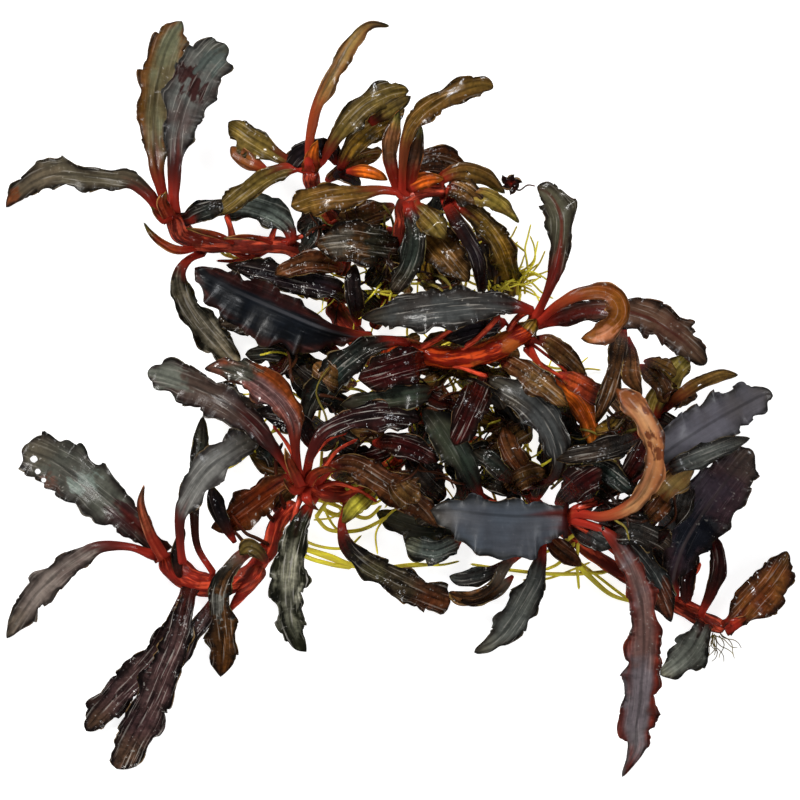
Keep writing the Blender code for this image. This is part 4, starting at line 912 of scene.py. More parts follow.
heart = ((42, -26, 26, -18, 10), (26, -22, 20, 22, 44), (34, 30, 58, -26, 8))
for name, finish, slot, share in (("olive_stalks", olive_stalk, "leaf_olive", 0.25),
                                  ("dark_stalks", dark_stalk, "leaf_black", 0.8)):
    routes = [route for count, *box in heart for route in draped(round(count * share), *box)]
    fleshy_tubes(name, routes, finish, slot, sides=7, step=0.6)


# Small leaves round the heart
# Short leaves of side shoots, glossy and of all the clump's colours. They lie on the old leaves and stick
# out between them below and to the right.
grow_leaf("small_yellow_floor", "rhizome_west", lime, [
    (-4, -17.3, 4, 0.6), (-7, -19.7, 4.5, 1.8), (-9.6, -22.3, 4, 1.6), (-11.6, -25.3, 3, 0.3),
])
grow_leaf("small_dark_round", "rhizome_se_low", soot, [
    (24, -31.3, 5, 0.6), (19, -34.3, 6, 1.2), (15, -35.7, 6, 1.9), (12, -36.1, 5, 1.5),
    (9.8, -35.5, 3, 0.3),
])
grow_leaf("small_brown_south", "rhizome_se_low", umber, [
    (29, -27.3, 7, 0.6), (31.4, -29.7, 8, 1.8), (34, -31.7, 7, 1.8), (36.4, -33.5, 5, 0.3),
])
grow_leaf("small_round_south", "rhizome_se_low", soot, [
    (34, -24.7, 10, 0.8), (37, -26.7, 11, 2.4), (40, -28.5, 10, 2.2), (42.4, -29.7, 8, 0.3),
])
grow_leaf("small_brown_east", "rhizome_se_low", umber, [
    (47, -27.3, 9, 0.7), (49.4, -24.3, 10.5, 2), (51.8, -21.3, 10, 2), (53.4, -18.5, 8, 0.3),
])
grow_leaf("small_amber_east", "rhizome_se_low", tan, [
    (49, -22.7, 8, 0.7), (52.4, -18.9, 10, 2.2), (55.6, -15.9, 10, 2.4), (58.8, -13.5, 8, 0.4),
])
grow_leaf("small_red_east", "rhizome_se_low", maroon, [
    (49, -30.3, 9, 0.5), (51, -28.1, 10, 1.5), (53.8, -26.1, 9, 0.3),
])
grow_leaf("small_strip_east", "rhizome_far_east", slate, [
    (50, -16.1, 9, 0.6), (55, -13.5, 11, 1.6), (61, -11.1, 10, 2.4, 2.2), (66, -9.1, 7, 1.6),
    (70, -7.9, 4, 0.3),
])
grow_leaf("small_teal_east", "rhizome_far_east", black, [
    (33, -13.3, 11, 0.7), (36.6, -12.9, 12.6, 1.9), (40.6, -14.3, 12.6, 2.4, 2.2),
    (44.2, -16.9, 11, 1.7), (46.8, -19.1, 9, 0.3),
])
grow_leaf("small_maroon_east", "rhizome_far_east", maroon, [
    (31.4, -21.3, 10, 0.8), (34.4, -18.1, 12, 3), (37.4, -15.9, 12, 3), (40.4, -14.1, 10, 0.4),
])
grow_leaf("small_ink_east", "rhizome_far_east", graphite, [
    (49, -6.9, 9, 0.6), (45, -8.9, 11.5, 2), (40, -10.3, 12.5, 2.4), (35, -11.3, 11.5, 1.8),
    (31, -12.3, 9, 0.3),
])


# South-west crown
# Six long leaves fan out of the shoot, five of them from its left end, where a young one still stands
# rolled up. Behind them are the stub of a torn-off shoot and thin stalks that have lost their blades.
silver_grey = leaf_look("silver_grey", "leaf_slate", (0.133, 0.13, 0.12), (0.073, 0.069, 0.065),
    (0.105, 0.093, 0.069), (0.12, 0.08, 0.04), WINE, base=0.5, silver=0.2, side=(0.02, 0.014, 0.013),
    sides=0.8, **matt)
# The pale teal spot of this look is painted sheen; its dark red and brown spots and its holes are the
# leaf's own.
grey_green = leaf_look("grey_green", "leaf_slate", (0.059, 0.06, 0.048), (0.036, 0.033, 0.026),
    (0.075, 0.063, 0.043), (0.13, 0.1, 0.06), WINE, base=0.42, silver=0.2, side=(0.018, 0.013, 0.011),
    sides=0.9,
    stains_and_light_spots=((-55, -24.7, 5, (0.028, 0.01, 0.01)), (-70, -17.7, 2.8, (0.09, 0.045, 0.032)),
            (-63, -16.7, 3, (0.12, 0.145, 0.125))),
    holes=((-73.2, -12.1, 0.75), (-72.4, -14.6, 0.6), (-71.2, -16.3, 0.5)), **matt)
ink = leaf_look("ink", "leaf_black", (0.009, 0.006, 0.008), (0.012, 0.007, 0.006), (0.02, 0.011, 0.007),
    (0.16, 0.11, 0.045), silver=0.3, specks_and_glints=0.1, **crumpled)
plum = leaf_look("plum", "leaf_maroon", (0.041, 0.02, 0.02), (0.063, 0.034, 0.031), (0.063, 0.034, 0.02),
    (0.2, 0.12, 0.05), silver=0.55, side=(0.008, 0.005, 0.005), sides=1, stalk=(0.06, 0.012, 0.009),
    **crumpled)
olive = leaf_look("olive", "leaf_olive", (0.141, 0.094, 0.02), (0.082, 0.055, 0.018),
    (0.178, 0.116, 0.022), (0.2, 0.11, 0.022), (0.09, 0.022, 0.008), silver=0.3, side=(0.05, 0.03, 0.008),
    sides=0.6)
mauve_grey = leaf_look("mauve_grey", "leaf_mauve", (0.197, 0.159, 0.137), (0.109, 0.073, 0.064),
    (0.162, 0.127, 0.091), (0.12, 0.07, 0.035), WINE, base=0.45, silver=0.2, side=(0.02, 0.012, 0.01),
    sides=0.9, **matt)
furled = leaf_look("furled", "leaf_amber", (0.36, 0.085, 0.035), (0.26, 0.034, 0.014), (0.42, 0.19, 0.1),
    (0.42, 0.16, 0.08), RED, side=(0.2, 0.04, 0.02), sides=0.3)

stamp(stem_rings["rhizome_sw"], pile, crowd)
grow_leaf("leaf_sw_down_left", "rhizome_sw", plum, [
    (-42.8, -38.7, 6, 0.8), (-44.4, -43.1, 7, 1.6), (-48, -49.7, 6.5, 3, 2.4),
    (-52.4, -55.1, 5, 3.4, 3.2), (-57, -59.7, 3, 3.2), (-60.6, -63.7, 1, 2.6), (-62.8, -66.5, 0, 0.8),
])
grow_leaf("small_plum_south_west", "rhizome_sw", plum, [
    (-37.4, -40.3, 7, 0.6), (-39.2, -44.1, 8.5, 1.6), (-41.8, -47.7, 9, 1.9), (-43.6, -51.7, 7.5, 1.4),
    (-44.6, -54.7, 6, 0.3),
])
grow_leaf("leaf_sw_down_right", "rhizome_sw", plum, [
    (-42, -38.7, 7, 0.9), (-43, -43.1, 9.5, 1.9, 2.5), (-44.7, -48.7, 10, 2.9, 2.7),
    (-47.1, -54.3, 8.5, 3.3, 3.5), (-49.9, -60.7, 6, 4.3, 3.7), (-52.7, -66.1, 3.5, 4.3, 3.3),
    (-55.1, -70.7, 1, 3.7, 2.7), (-56.7, -74.1, 0, 1.4),
])
grow_leaf("leaf_sw_low", "rhizome_sw", mauve_grey, [
    (-49.6, -31.1, 9.5, 0.9), (-54.2, -29.6, 12, 0.8), (-59.7, -29.6, 13, 1.4, 1.2),
    (-64.5, -32, 11, 2.4, 2), (-68.9, -35.4, 8, 2.8), (-72.9, -39.4, 5, 2.8), (-76.1, -43.8, 2, 2.4, 2),
    (-78.7, -48, 0, 0.3),
])
grow_leaf("small_narrow_west", "rhizome_sw", bottle, [
    (-37.4, -34.7, 8, 0.6), (-40.4, -29.7, 10, 0.7), (-41, -23.7, 12, 1, 0.9),
    (-40.8, -17.7, 12.5, 1.2, 1.3), (-40.2, -11.7, 12, 1.7, 1.6), (-39.6, -6.7, 10, 1.3),
    (-39.4, -3.5, 8, 0.3),
])
grow_leaf("small_black_west", "rhizome_sw", ink, [
    (-33, -28.7, 9, 0.5), (-35.2, -24.7, 11, 1.4), (-36.8, -20.7, 11.5, 1.8), (-37.8, -17.1, 10, 0.3),
])
grow_leaf("leaf_sw_big", "rhizome_sw", grey_green, [
    (-47.8, -30.3, 8.5, 1), (-50.7, -27.4, 11, 2.1), (-54.6, -23.6, 13, 3.7, 3.3),
    (-59.8, -19.2, 12, 4.9, 4.7), (-65, -15.2, 9, 5.3, 5.1), (-69.8, -12.2, 5, 5.1, 4.9),
    (-73.4, -10.8, 2, 3.7, 3.5), (-75.2, -10, 0, 1),
], wave=0.5)
grow_leaf("sheath_west_furled", "rhizome_sw", furled, [
    (-46.2, -33.3, 9.5, 1.1), (-48.6, -29.5, 13, 1.2), (-50.6, -25.1, 16, 1.1), (-51.7, -20.9, 18, 0.8),
    (-51, -17.1, 19.5, 0.15),
], cup=1.2)
grow_leaf("leaf_sw_grey", "rhizome_sw", silver_grey, [
    (-43.2, -33.9, 8, 0.8), (-43.8, -29.7, 12, 0.8), (-44, -23.7, 16, 1, 1.4),
    (-42, -19.1, 17.5, 2.2, 3), (-38.6, -14.3, 17.5, 3.2, 3.4), (-34, -10.7, 15.5, 3.4, 2.8),
    (-30, -8.3, 13, 2.2), (-26.8, -6.5, 10.5, 0.3),
], wave=0.4)
grow_leaf("leaf_sw_brown", "rhizome_sw", moss, [
    (-27.6, -29.7, 9.5, 0.8), (-31.1, -31.1, 11.5, 1.2), (-34.3, -34.3, 12, 1.8, 1.6),
    (-36.1, -38.7, 11, 2.2), (-36.1, -43.1, 8.5, 2.8, 2), (-35.5, -47.9, 5, 3.2),
    (-35.5, -51.9, 2, 2.6, 2.8), (-35.9, -55.7, 0, 0.3),
])
grow_leaf("small_curl_south_west", "rhizome_sw", olive, [
    (-26.6, -33.1, 9, 0.5), (-28.2, -30.7, 11.5, 1.3), (-30.4, -29.7, 12, 1.7), (-32, -31.3, 11, 0.4),
], cup=0.8)

fleshy_tubes("stub_south_west", [
    [(-27.6, -33.3, 7, 1.7), (-29.6, -36.1, 7.4, 1.8), (-31.6, -38.9, 7.8, 1.3),
     (-33.2, -41.1, 7.8, 0.7), (-34.4, -43.1, 7.4, 0.2)],
    [(-29.2, -35.1, 7.4, 1.3), (-31.4, -36.7, 7.8, 0.9), (-33.6, -37.9, 7.8, 0.5),
     (-35, -38.5, 7.4, 0.15)],
], red_stem, "rhizome")

brown_stalk = stem_finish("brown_stalk", (0.09, 0.018, 0.006), (0.03, 0.012, 0.006), (0.05, 0.02, 0.01),
                          (0.04, 0.006, 0.003))
fleshy_tubes("stalks_south_west", [
    [(-28, -31.3, 9, 0.45), (-30.6, -29.3, 10, 0.4), (-33, -26.7, 10, 0.35), (-35.4, -25.1, 9, 0.3)],
    [(-26, -29.3, 9.5, 0.45), (-28.6, -27.9, 11, 0.4), (-31, -26.7, 11, 0.35), (-33.6, -23.1, 11, 0.3)],
    [(-24.4, -25.3, 10, 0.5), (-26.6, -22.7, 12, 0.45), (-27.4, -18.7, 12, 0.4),
     (-26.6, -14.7, 12, 0.35)],
    [(-22.6, -22.7, 11, 0.5), (-24, -18.7, 13, 0.45), (-24.8, -12.7, 14, 0.4), (-23.4, -8.7, 13, 0.3)],
], brown_stalk, "leaf_umber", sides=10, step=0.5)


# North-west crown
# Five long leaves on a long bare shoot, four of them at its end. The torn red sheaths of older leaves are
# left on the shoot, and a red bud opens at its tip.
slate_red = leaf_look("slate_red", "leaf_slate", (0.08, 0.082, 0.074), (0.042, 0.017, 0.014),
    (0.065, 0.066, 0.049), (0.1, 0.08, 0.05), WINE, base=0.55, silver=0.3, specks_and_glints=0.5,
    side=(0.014, 0.01, 0.01), sides=0.7,
    stains_and_light_spots=((-42.8, 64.6, 2.6, (0.028, 0.009, 0.008)), (-41.2, 61.6, 2.6, (0.028, 0.009, 0.008)),
            (-37, 67.5, 3.2, (0.06, 0.072, 0.064))),
    **matt)
striped = leaf_look("striped", "leaf_slate", (0.254, 0.218, 0.149), (0.116, 0.101, 0.072),
    (0.23, 0.181, 0.106), (0.11, 0.085, 0.05), WINE, silver=1, contrast=0.9, folds=0.8, crinkle=0.4,
    side=(0.014, 0.013, 0.008), sides=1, wide=(2.6, 0.8))
olive_grey = leaf_look("olive_grey", "leaf_slate", (0.105, 0.081, 0.051), (0.059, 0.051, 0.031),
    (0.148, 0.089, 0.035), (0.13, 0.085, 0.035), WINE, silver=0.4,
    stains_and_light_spots=((-77.4, 39.5, 2.6, (0.2, 0.06, 0.02)),), **matt)
orange_olive = leaf_look("orange_olive", "leaf_olive", (0.113, 0.113, 0.064), (0.097, 0.064, 0.024),
    (0.087, 0.091, 0.053), (0.13, 0.06, 0.02), (0.075, 0.012, 0.006), base=0.5, silver=0.15,
    side=(0.13, 0.046, 0.01), sides=0.9, flank=((0.11, 0.05, 0.01), -1, -2.6), **matt)
bract = leaf_look("bract", "leaf_umber", (0.33, 0.05, 0.012), (0.15, 0.015, 0.006), (0.24, 0.2, 0.04),
    (0.42, 0.2, 0.06), RED, silver=0.1, side=(0.12, 0.014, 0.006), sides=0.4)

stamp(stem_rings["rhizome_nw"], pile, crowd)
grow_leaf("leaf_nw_arc", "rhizome_nw", striped, [
    (-39.4, 29.1, 8, 0.7), (-42.2, 27.7, 9.5, 0.8), (-43.9, 24.7, 10, 1.2, 1.6),
    (-43.3, 20.3, 8.5, 2.4, 2.2), (-40.7, 15.7, 6.5, 3, 2.6), (-36.9, 11.3, 4, 3.4, 2.8),
    (-33.7, 7.9, 2, 2, 2.4), (-32.1, 6.1, 1, 0.3),
], wave=0.4)
grow_leaf("sheath_nw_low", "rhizome_nw", bract, [
    (-38.4, 30.3, 8.2, 0.3), (-44, 29.7, 10, 1, 0.8), (-47.2, 31, 10.6, 1, 0.7),
    (-49.6, 33, 10.8, 0.7, 0.5), (-51.2, 35.2, 10.4, 0.1),
], cup=0.9, wave=0, rooted=False)
grow_leaf("leaf_nw_left", "rhizome_nw", olive_grey, [
    (-47.4, 36.1, 14, 0.8), (-50, 40.4, 16.5, 1.2, 1.4), (-53.4, 43, 17.5, 1.4, 2),
    (-57.6, 43.8, 17, 2.4, 2.2), (-63, 44.4, 14.5, 2.8, 1.8), (-68.4, 44.8, 11, 2.6, 3.6),
    (-73, 43.4, 6.5, 2.4, 2.6), (-76.4, 40.8, 2.5, 1.4, 2), (-78.8, 38.2, 0, 0.3),
])
grow_leaf("leaf_nw_tall_back", "rhizome_nw", orange_olive, [
    (-46.4, 37.7, 15.5, 0.8), (-48, 43.3, 16.5, 1.2), (-49, 49.3, 16, 1.8, 2.4),
    (-49.2, 55.7, 13.5, 3.2, 4), (-48.6, 62.3, 10.5, 3.8, 4.4), (-47, 68.9, 6, 3.4, 4.4),
    (-45.2, 72.9, 2.5, 2.8, 2.4), (-43.6, 75.5, 0, 0.3),
])
grow_leaf("leaf_nw_tall_front", "rhizome_nw", slate_red, [
    (-44.8, 36.1, 17, 0.8), (-45.2, 41, 20, 1, 1.2), (-44.9, 46.8, 21, 1.6),
    (-44.5, 52.8, 20.5, 2.6, 3.4), (-42.9, 58.8, 18.5, 4.4, 4.8), (-40.3, 64.4, 15.5, 5),
    (-37.3, 68.4, 12.5, 4.2), (-34.7, 70.2, 9, 1.2),
], wave=0.45)
grow_leaf("leaf_nw_teal", "rhizome_nw", teal, [
    (-21.4, 31.3, 10.5, 0.7), (-22.6, 34.5, 12, 1.6, 1.8), (-26, 36.9, 12.5, 2.8, 3.2),
    (-30.4, 38.3, 11.5, 2.4, 3.8), (-33.6, 38.3, 10, 2.4, 2.6), (-36.2, 37.5, 8, 0.3),
])
grow_leaf("small_dark_nw", "rhizome_nw", black, [
    (-43.2, 34.3, 14, 0.6), (-41.6, 36.3, 15.5, 1.5, 1.3), (-38.4, 37.7, 14.5, 2.1),
    (-35.8, 38.5, 12.6, 1.4), (-34, 38.7, 11, 0.3),
])
grow_leaf("sheath_nw_high", "rhizome_nw", bract, [
    (-32, 30.3, 8.6, 0.25), (-35.6, 32.3, 11.6, 0.7, 0.6), (-39.6, 33.3, 13, 0.6),
    (-42.8, 34, 14.5, 0.15),
], cup=0.8, wave=0, rooted=False)
grow_leaf("sheath_nw_back", "rhizome_nw", bract, [
    (-23.8, 30.3, 8, 0.2), (-28, 31.9, 10.6, 0.6, 0.5), (-31.6, 32.3, 11.5, 0.6, 0.5),
    (-35.4, 31.9, 11.8, 0.15),
], cup=0.8, wave=0, rooted=False)
grow_leaf("bud_nw", "rhizome_nw", bract, [
    (-45.2, 34.9, 16, 0.9), (-46.4, 37.1, 19, 1.4, 1.2), (-47.2, 39.3, 21, 1.3, 0.9),
    (-46.6, 41.3, 22, 0.15),
], cup=1.1, wave=0.2)
grow_leaf("bud_scale_nw", "rhizome_nw", bract, [
    (-45.4, 35.1, 17, 0.6), (-47, 35.9, 18, 1, 0.8), (-48.6, 37.1, 18.5, 0.7, 0.5),
    (-49.6, 38.3, 18, 0.1),
], cup=0.8, wave=0.2)
fleshy_tubes("stalks_nw", [
    [(-33.4, 31.5, 9.8, 0.8), (-33.8, 34, 11.6, 0.6), (-34.8, 36.9, 12.4, 0.6)],
    [(-25.8, 30.9, 9, 0.8), (-25.2, 33.5, 11, 0.5), (-23.8, 36.3, 12.6, 0.4)],
    [(-24, 30.9, 9.5, 0.6), (-17.2, 33.3, 11, 0.5), (-12.4, 35.7, 11.6, 0.4)],
    [(-34, 29.7, 8.4, 0.7), (-30.4, 28.3, 7, 0.5), (-25.4, 30.3, 8, 0.6)],
    [(-36.8, 27.5, 5, 0.2), (-31, 27.7, 6.6, 0.6), (-25, 30.5, 8.6, 0.7)],
], red_stem, "rhizome", sides=14, step=0.5)


# First leaves over the middle
# Two broad, almost black leaves that lie over the old stem. Small ones fill the gaps between them, each
# laid on those before it.
# Its pale rib colour is a painted highlight along the midrib.
night = leaf_look("night", "leaf_black", (0.003, 0.004, 0.006), (0.003, 0.003, 0.004),
    (0.004, 0.004, 0.004), (0.05, 0.034, 0.018), (0.024, 0.004, 0.004), silver=0.02, specks_and_glints=0.05,
    contrast=0.7, rough=0.3, folds=0.3, crinkle=0.1, side=(0.03, 0.007, 0.005), sides=0.9,
    rib=(0.07, 0.07, 0.08), flank=((0.014, 0.003, 0.003), 0.3, 1.6))

stamp(stem_rings["rhizome_east"], pile, crowd)
grow_leaf("small_black_west_back", "rhizome_main", ink, [
    (-9, 19.3, 5, 0.8), (-14, 22.1, 8, 2.4), (-21, 23.7, 9.5, 3, 3.2), (-28, 25.3, 9, 2.2, 2.6),
    (-34.8, 26.7, 7, 0.4),
])
grow_leaf("small_red_north_west", "rhizome_north", umber, [
    (-11.4, 26.1, 7, 0.7), (-14.4, 26.9, 9, 1.8), (-18.4, 27.1, 9.5, 2.4), (-22.4, 25.9, 8, 1.8),
    (-25.2, 24.7, 6, 0.3),
])
grow_leaf("leaf_west_dark", "rhizome_main", night, [
    (-6, 12.5, 5, 0.8), (-10, 12.7, 9, 1.6, 1.2), (-16, 14.3, 12.5, 5.2, 1.8),
    (-22, 16.7, 13.5, 7.2, 3.6), (-28.4, 19.5, 12.5, 7, 4), (-34, 22.1, 10, 5.4, 3),
    (-38.4, 24.5, 7, 3.2, 2), (-41, 26.1, 5, 0.3),
])
grow_leaf("small_black_upright", "rhizome_main", ink, [
    (-8.4, 14.7, 7, 0.7), (-9, 19.3, 10, 1.8), (-9.4, 23.3, 10.5, 1.8), (-9, 26.9, 9, 0.4),
])
grow_leaf("small_green_centre", "rhizome_main", deep_green, [
    (9, 1.5, 12, 0.6), (4, 0.9, 14.5, 2.2, 2), (-2, 0.1, 15, 2.6, 2.4), (-8, -0.7, 13.5, 2, 1.8),
    (-12, -1.3, 11.5, 0.3),
])
grow_leaf("small_maroon_centre", "rhizome_main", maroon, [
    (7, 7.7, 11, 0.7), (3, 6.9, 15, 3), (-1, 5.9, 16, 4.2), (-5, 4.7, 15, 3.2), (-8.4, 3.9, 13, 0.4),
])
grow_leaf("leaf_west_black", "rhizome_east", black, [
    (2.4, 10.7, 18.5, 0.7), (-1.4, 11.7, 20, 1.2, 0.8), (-7, 10.1, 20, 2.6, 2.2),
    (-12, 6.5, 18, 3.6, 2.8), (-16, 2.1, 15.5, 3.6, 2.8), (-18.2, -2.1, 13, 2, 1.8),
    (-19.2, -6.1, 11, 0.3),
])


# North crown
# Olive and tan leaves of a crown that stands high on a shoot of its own. The tallest is folded along its
# midrib, and a short orange sheath stands at its foot.
copper = leaf_look("copper", "leaf_amber", (0.197, 0.062, 0.008), (0.16, 0.035, 0.005),
    (0.253, 0.091, 0.019), (0.4, 0.2, 0.08), (0.22, 0.035, 0.01), base=0.5, silver=0.2, contrast=0.5,
    rough=0.25, groove=0.2, side=(0.13, 0.034, 0.008), sides=0.6,
    stains_and_light_spots=((42, 11.9, 3.4, (0.4, 0.15, 0.07)),))
orange = leaf_look("orange", "leaf_amber", (0.845, 0.159, 0.012), (0.523, 0.081, 0.008), (1, 0.3, 0.028),
    (0.483, 0.159, 0.02), (0.2, 0.02, 0.006), patchy=0.9, silver=0.1, side=(0.16, 0.05, 0.01), sides=0.5)

stamp(stem_rings["rhizome_north"], pile, crowd)
grow_leaf("small_dark_north", "rhizome_north", ink, [
    (-12.6, 46.9, 15, 0.7), (-13.8, 49.3, 17, 2), (-17.1, 49.7, 17, 2.8, 2.6), (-20.5, 47.9, 15, 2),
    (-22.7, 44.9, 13, 0.3),
])
grow_leaf("small_orange_north", "rhizome_north", copper, [
    (-26.6, 45.5, 16.5, 0.6), (-29.2, 46.9, 16.5, 1.5), (-32, 48.5, 15, 1.7), (-33.8, 50.3, 13, 0.4),
])
grow_leaf("leaf_north_olive_upper", "rhizome_north", olive, [
    (-20.6, 46.7, 17, 0.7), (-23.8, 48.4, 17.5, 1.6, 1), (-27.1, 50.4, 16.5, 3.2, 2),
    (-30.3, 52.4, 14, 3.6, 2.4), (-32.5, 54, 12, 2.4, 1.8), (-34.3, 55.2, 10, 0.3),
], wave=0.4)
grow_leaf("leaf_north_olive_lower", "rhizome_north", olive, [
    (-20.4, 46.1, 18.5, 0.7), (-23.6, 45.7, 19.5, 1.8, 1.2), (-27.6, 43.7, 18.5, 2.2, 1.8),
    (-31.4, 40.9, 16.5, 2.2, 2), (-34.4, 38.5, 14, 1.8, 2), (-37.2, 36.5, 11.5, 0.3),
], wave=0.4)
grow_leaf("small_olive_north", "rhizome_north", olive_brown, [
    (-12, 45.7, 16, 0.7), (-9.6, 50.3, 19, 2.2), (-5, 54.3, 19, 2.9), (-1.4, 56.3, 17.5, 2),
    (1, 57.7, 16, 0.3),
])
grow_leaf("small_yellow_north", "rhizome_north", olive, [
    (-6, 54.9, 19.5, 0.8), (-3, 57.1, 20, 1.6), (0, 58.9, 19, 1.5), (2.2, 60.3, 17.5, 0.3),
])
grow_leaf("leaf_north_arch", "rhizome_north", olive, [
    (-15.6, 47.3, 19, 0.7), (-13.1, 51.5, 22, 1.4), (-10, 55.6, 23.5, 2.2, 2.6),
    (-6.6, 58.8, 23, 2.6, 2.8), (-2.6, 60.8, 21, 2.4, 2.2), (-0.2, 61.4, 19, 1.6, 1.8),
    (1.8, 61.4, 17, 0.3),
], wave=0.4)
grow_leaf("leaf_north_tall", "rhizome_north", tan, [
    (-18.2, 44.9, 20, 0.7), (-18.1, 51.3, 24, 0.8, 1), (-16.9, 57.3, 26.5, 1, 1.3),
    (-14.7, 62.5, 27, 1.2, 1.8), (-11.9, 67.3, 26, 1.4, 2), (-9.1, 71.7, 24, 1.2, 1.8),
    (-5.9, 74.5, 21, 0.8, 1), (-2.1, 74.3, 17, 0.3),
], cup=1.1, ruffle=2.2)
grow_leaf("sheath_north", "rhizome_north", orange, [
    (-17.8, 45.7, 20, 1), (-17.4, 48.9, 22, 1.2), (-16.4, 51.5, 23, 0.2),
], cup=0.8, wave=0)


# North-east crown
# Ochre and brown leaves on thin stalks, with two small red ones still folded in the heart. One long leaf
# hangs down to the table on the right.
speckled = leaf_look("speckled", "leaf_umber", (0.044, 0.02, 0.006), (0.026, 0.011, 0.004),
    (0.068, 0.032, 0.009), (0.1, 0.06, 0.025), silver=0.45, specks_and_glints=0.6,
    stains_and_light_spots=((-3.5, 30.3, 4.6, (0.016, 0.014, 0.008)), (-12, 31, 3.6, (0.056, 0.046, 0.034))), **crumpled)
honey = leaf_look("honey", "leaf_ochre", (0.315, 0.232, 0.041), (0.185, 0.115, 0.025),
    (0.335, 0.303, 0.066), (0.2, 0.1, 0.02), (0.14, 0.03, 0.01), silver=0.2, side=(0.12, 0.06, 0.012),
    sides=0.5)
sheath = leaf_look("sheath", "leaf_umber", (0.181, 0.07, 0.023), (0.093, 0.032, 0.016),
    (0.26, 0.264, 0.054), (0.34, 0.11, 0.025), RED)

stamp(stem_rings["rhizome_ne"], pile, crowd)
grow_leaf("small_dark_ne_back", "rhizome_ne", umber, [
    (0.4, 42.3, 16, 0.8), (2, 46, 17.5, 1.8), (6.4, 47.5, 17, 2.9), (10.6, 46.7, 15, 2.5),
    (13.8, 44.7, 13, 0.3),
])
grow_leaf("small_amber_ne", "rhizome_ne", amber_brown, [
    (3, 38.3, 13, 0.7), (5, 34.3, 14, 2.4), (8, 30.3, 13, 4, 3.8), (11, 26.7, 11, 3.4, 3.2),
    (13.8, 23.3, 8, 0.4),
])
grow_leaf("small_black_ne", "rhizome_ne", ink, [
    (8.6, 40.3, 17, 0.6), (10.6, 36.3, 18, 1.4), (13.2, 32.3, 17, 1.8, 1.5), (15.4, 28.3, 14, 1.5, 1.8),
    (16.2, 23.3, 9, 1.4, 1.2), (16, 20.1, 6, 0.3),
])
grow_leaf("leaf_centre_brown", "rhizome_ne", speckled, [
    (1.6, 29.7, 12.4, 0.8), (-1.6, 30.1, 15.5, 2, 2.2), (-5.6, 30.7, 18, 4, 4.2),
    (-10, 31.3, 18, 4.4, 4.2), (-14, 31.1, 16.5, 3.4, 3), (-16.8, 30.5, 14.8, 0.4),
], wave=0.5, roll=-8)
grow_leaf("leaf_north_ochre", "rhizome_ne", ochre, [
    (-0.8, 41.3, 19, 0.7), (-4.4, 41.5, 21, 1), (-9, 40.9, 22, 2.4, 1.6), (-13.6, 40.3, 21.5, 3.2, 2.4),
    (-17.6, 39.5, 20, 3, 3.2), (-20, 38.7, 18.5, 1.8, 2.2), (-21.8, 38.3, 17, 0.3),
], wave=0.4)
grow_leaf("leaf_ne_dark", "rhizome_ne", bottle, [
    (1.6, 38.9, 19.5, 0.7), (2.6, 34.9, 22, 1.8), (2.8, 30.3, 23, 2.4), (1.4, 25.7, 21.5, 2.6),
    (-0.4, 22.9, 19.5, 1.8), (-1.6, 21.1, 17.5, 0.3),
])
grow_leaf("small_olive_ne", "rhizome_ne", olive, [
    (2.6, 38.7, 19, 0.6), (4.6, 36.9, 20, 1.8), (7, 34.3, 19.5, 2.5), (9, 31.7, 18, 0.4),
])
grow_leaf("small_orange_ne", "rhizome_ne", orange, [
    (1.6, 41.9, 20, 0.7), (5, 43.5, 21, 1.6), (8.8, 43.9, 20.5, 0.4),
])
grow_leaf("small_orange_north_ne", "rhizome_ne", orange, [
    (-10.6, 45.3, 18, 0.5), (-7.6, 45.3, 19.5, 1.4), (-4.4, 44.5, 20, 1.1), (-2.4, 43.5, 19.5, 0.3),
])
grow_leaf("leaf_small_red_left", "rhizome_ne", sheath, [
    (-0.6, 41.9, 19, 0.8), (-1.8, 46.3, 22, 1.3), (-2, 50.3, 24, 1.7), (-1.2, 54.1, 25, 1.4),
    (-0.2, 57.5, 24.5, 0.3),
], cup=0.8)
grow_leaf("leaf_small_red_right", "rhizome_ne", sheath, [
    (1.8, 41.3, 19, 0.8), (2.6, 46.3, 22, 1.4), (3.4, 50.3, 24, 1.5), (4.2, 54.5, 25, 0.3),
], cup=0.8)
grow_leaf("leaf_ne_long", "rhizome_ne", (ochre[0], "leaf_amber"), [
    (0.4, 41.7, 20, 0.7), (0.6, 47.3, 25, 0.9), (1.4, 52.3, 29, 1.2, 1.4), (4, 56.5, 31, 2, 2.2),
    (8.4, 59.7, 30.5, 2, 2.4), (13.2, 61.7, 28, 2.4, 2.2), (16.6, 62.5, 25, 1.8), (18.6, 61.9, 22, 0.3),
], wave=0.4)
grow_leaf("leaf_ne_hanging", "rhizome_ne", olive_brown, [
    (9.8, 40.1, 18, 0.7), (13.2, 37.7, 19.5, 1.6, 1.4), (17, 34.5, 18.5, 2.6, 2.2),
    (20, 30.3, 15, 2.8, 2.6), (21.8, 25.7, 10, 2.2, 3), (22.6, 22.3, 4, 1.6, 2.4), (22.8, 20.5, 0, 0.3),
])
grow_leaf("small_ochre_ne", "rhizome_ne", ochre, [
    (7, 42.9, 19, 0.6), (9.7, 44.6, 20, 1.3), (13.4, 45.3, 19.5, 1.9), (17.4, 43.9, 17.5, 1.7),
    (21, 40.9, 14, 0.3),
])
grow_leaf("small_tan_ne", "rhizome_ne", amber_brown, [
    (7.4, 43.1, 20, 0.7), (10.6, 42.7, 21, 2.4), (13.8, 40.9, 20.5, 2.6), (16.6, 37.9, 18.5, 0.4),
])
grow_leaf("leaf_ne_olive", "rhizome_ne", honey, [
    (11, 41.9, 19.5, 0.7), (14, 41.1, 20.5, 1, 1.4), (17, 40.3, 19.5, 1.8, 2.2), (19.6, 38.9, 17, 1.8),
    (21.6, 37.1, 14, 1.2, 0.8), (23.8, 35.1, 10, 0.3),
])


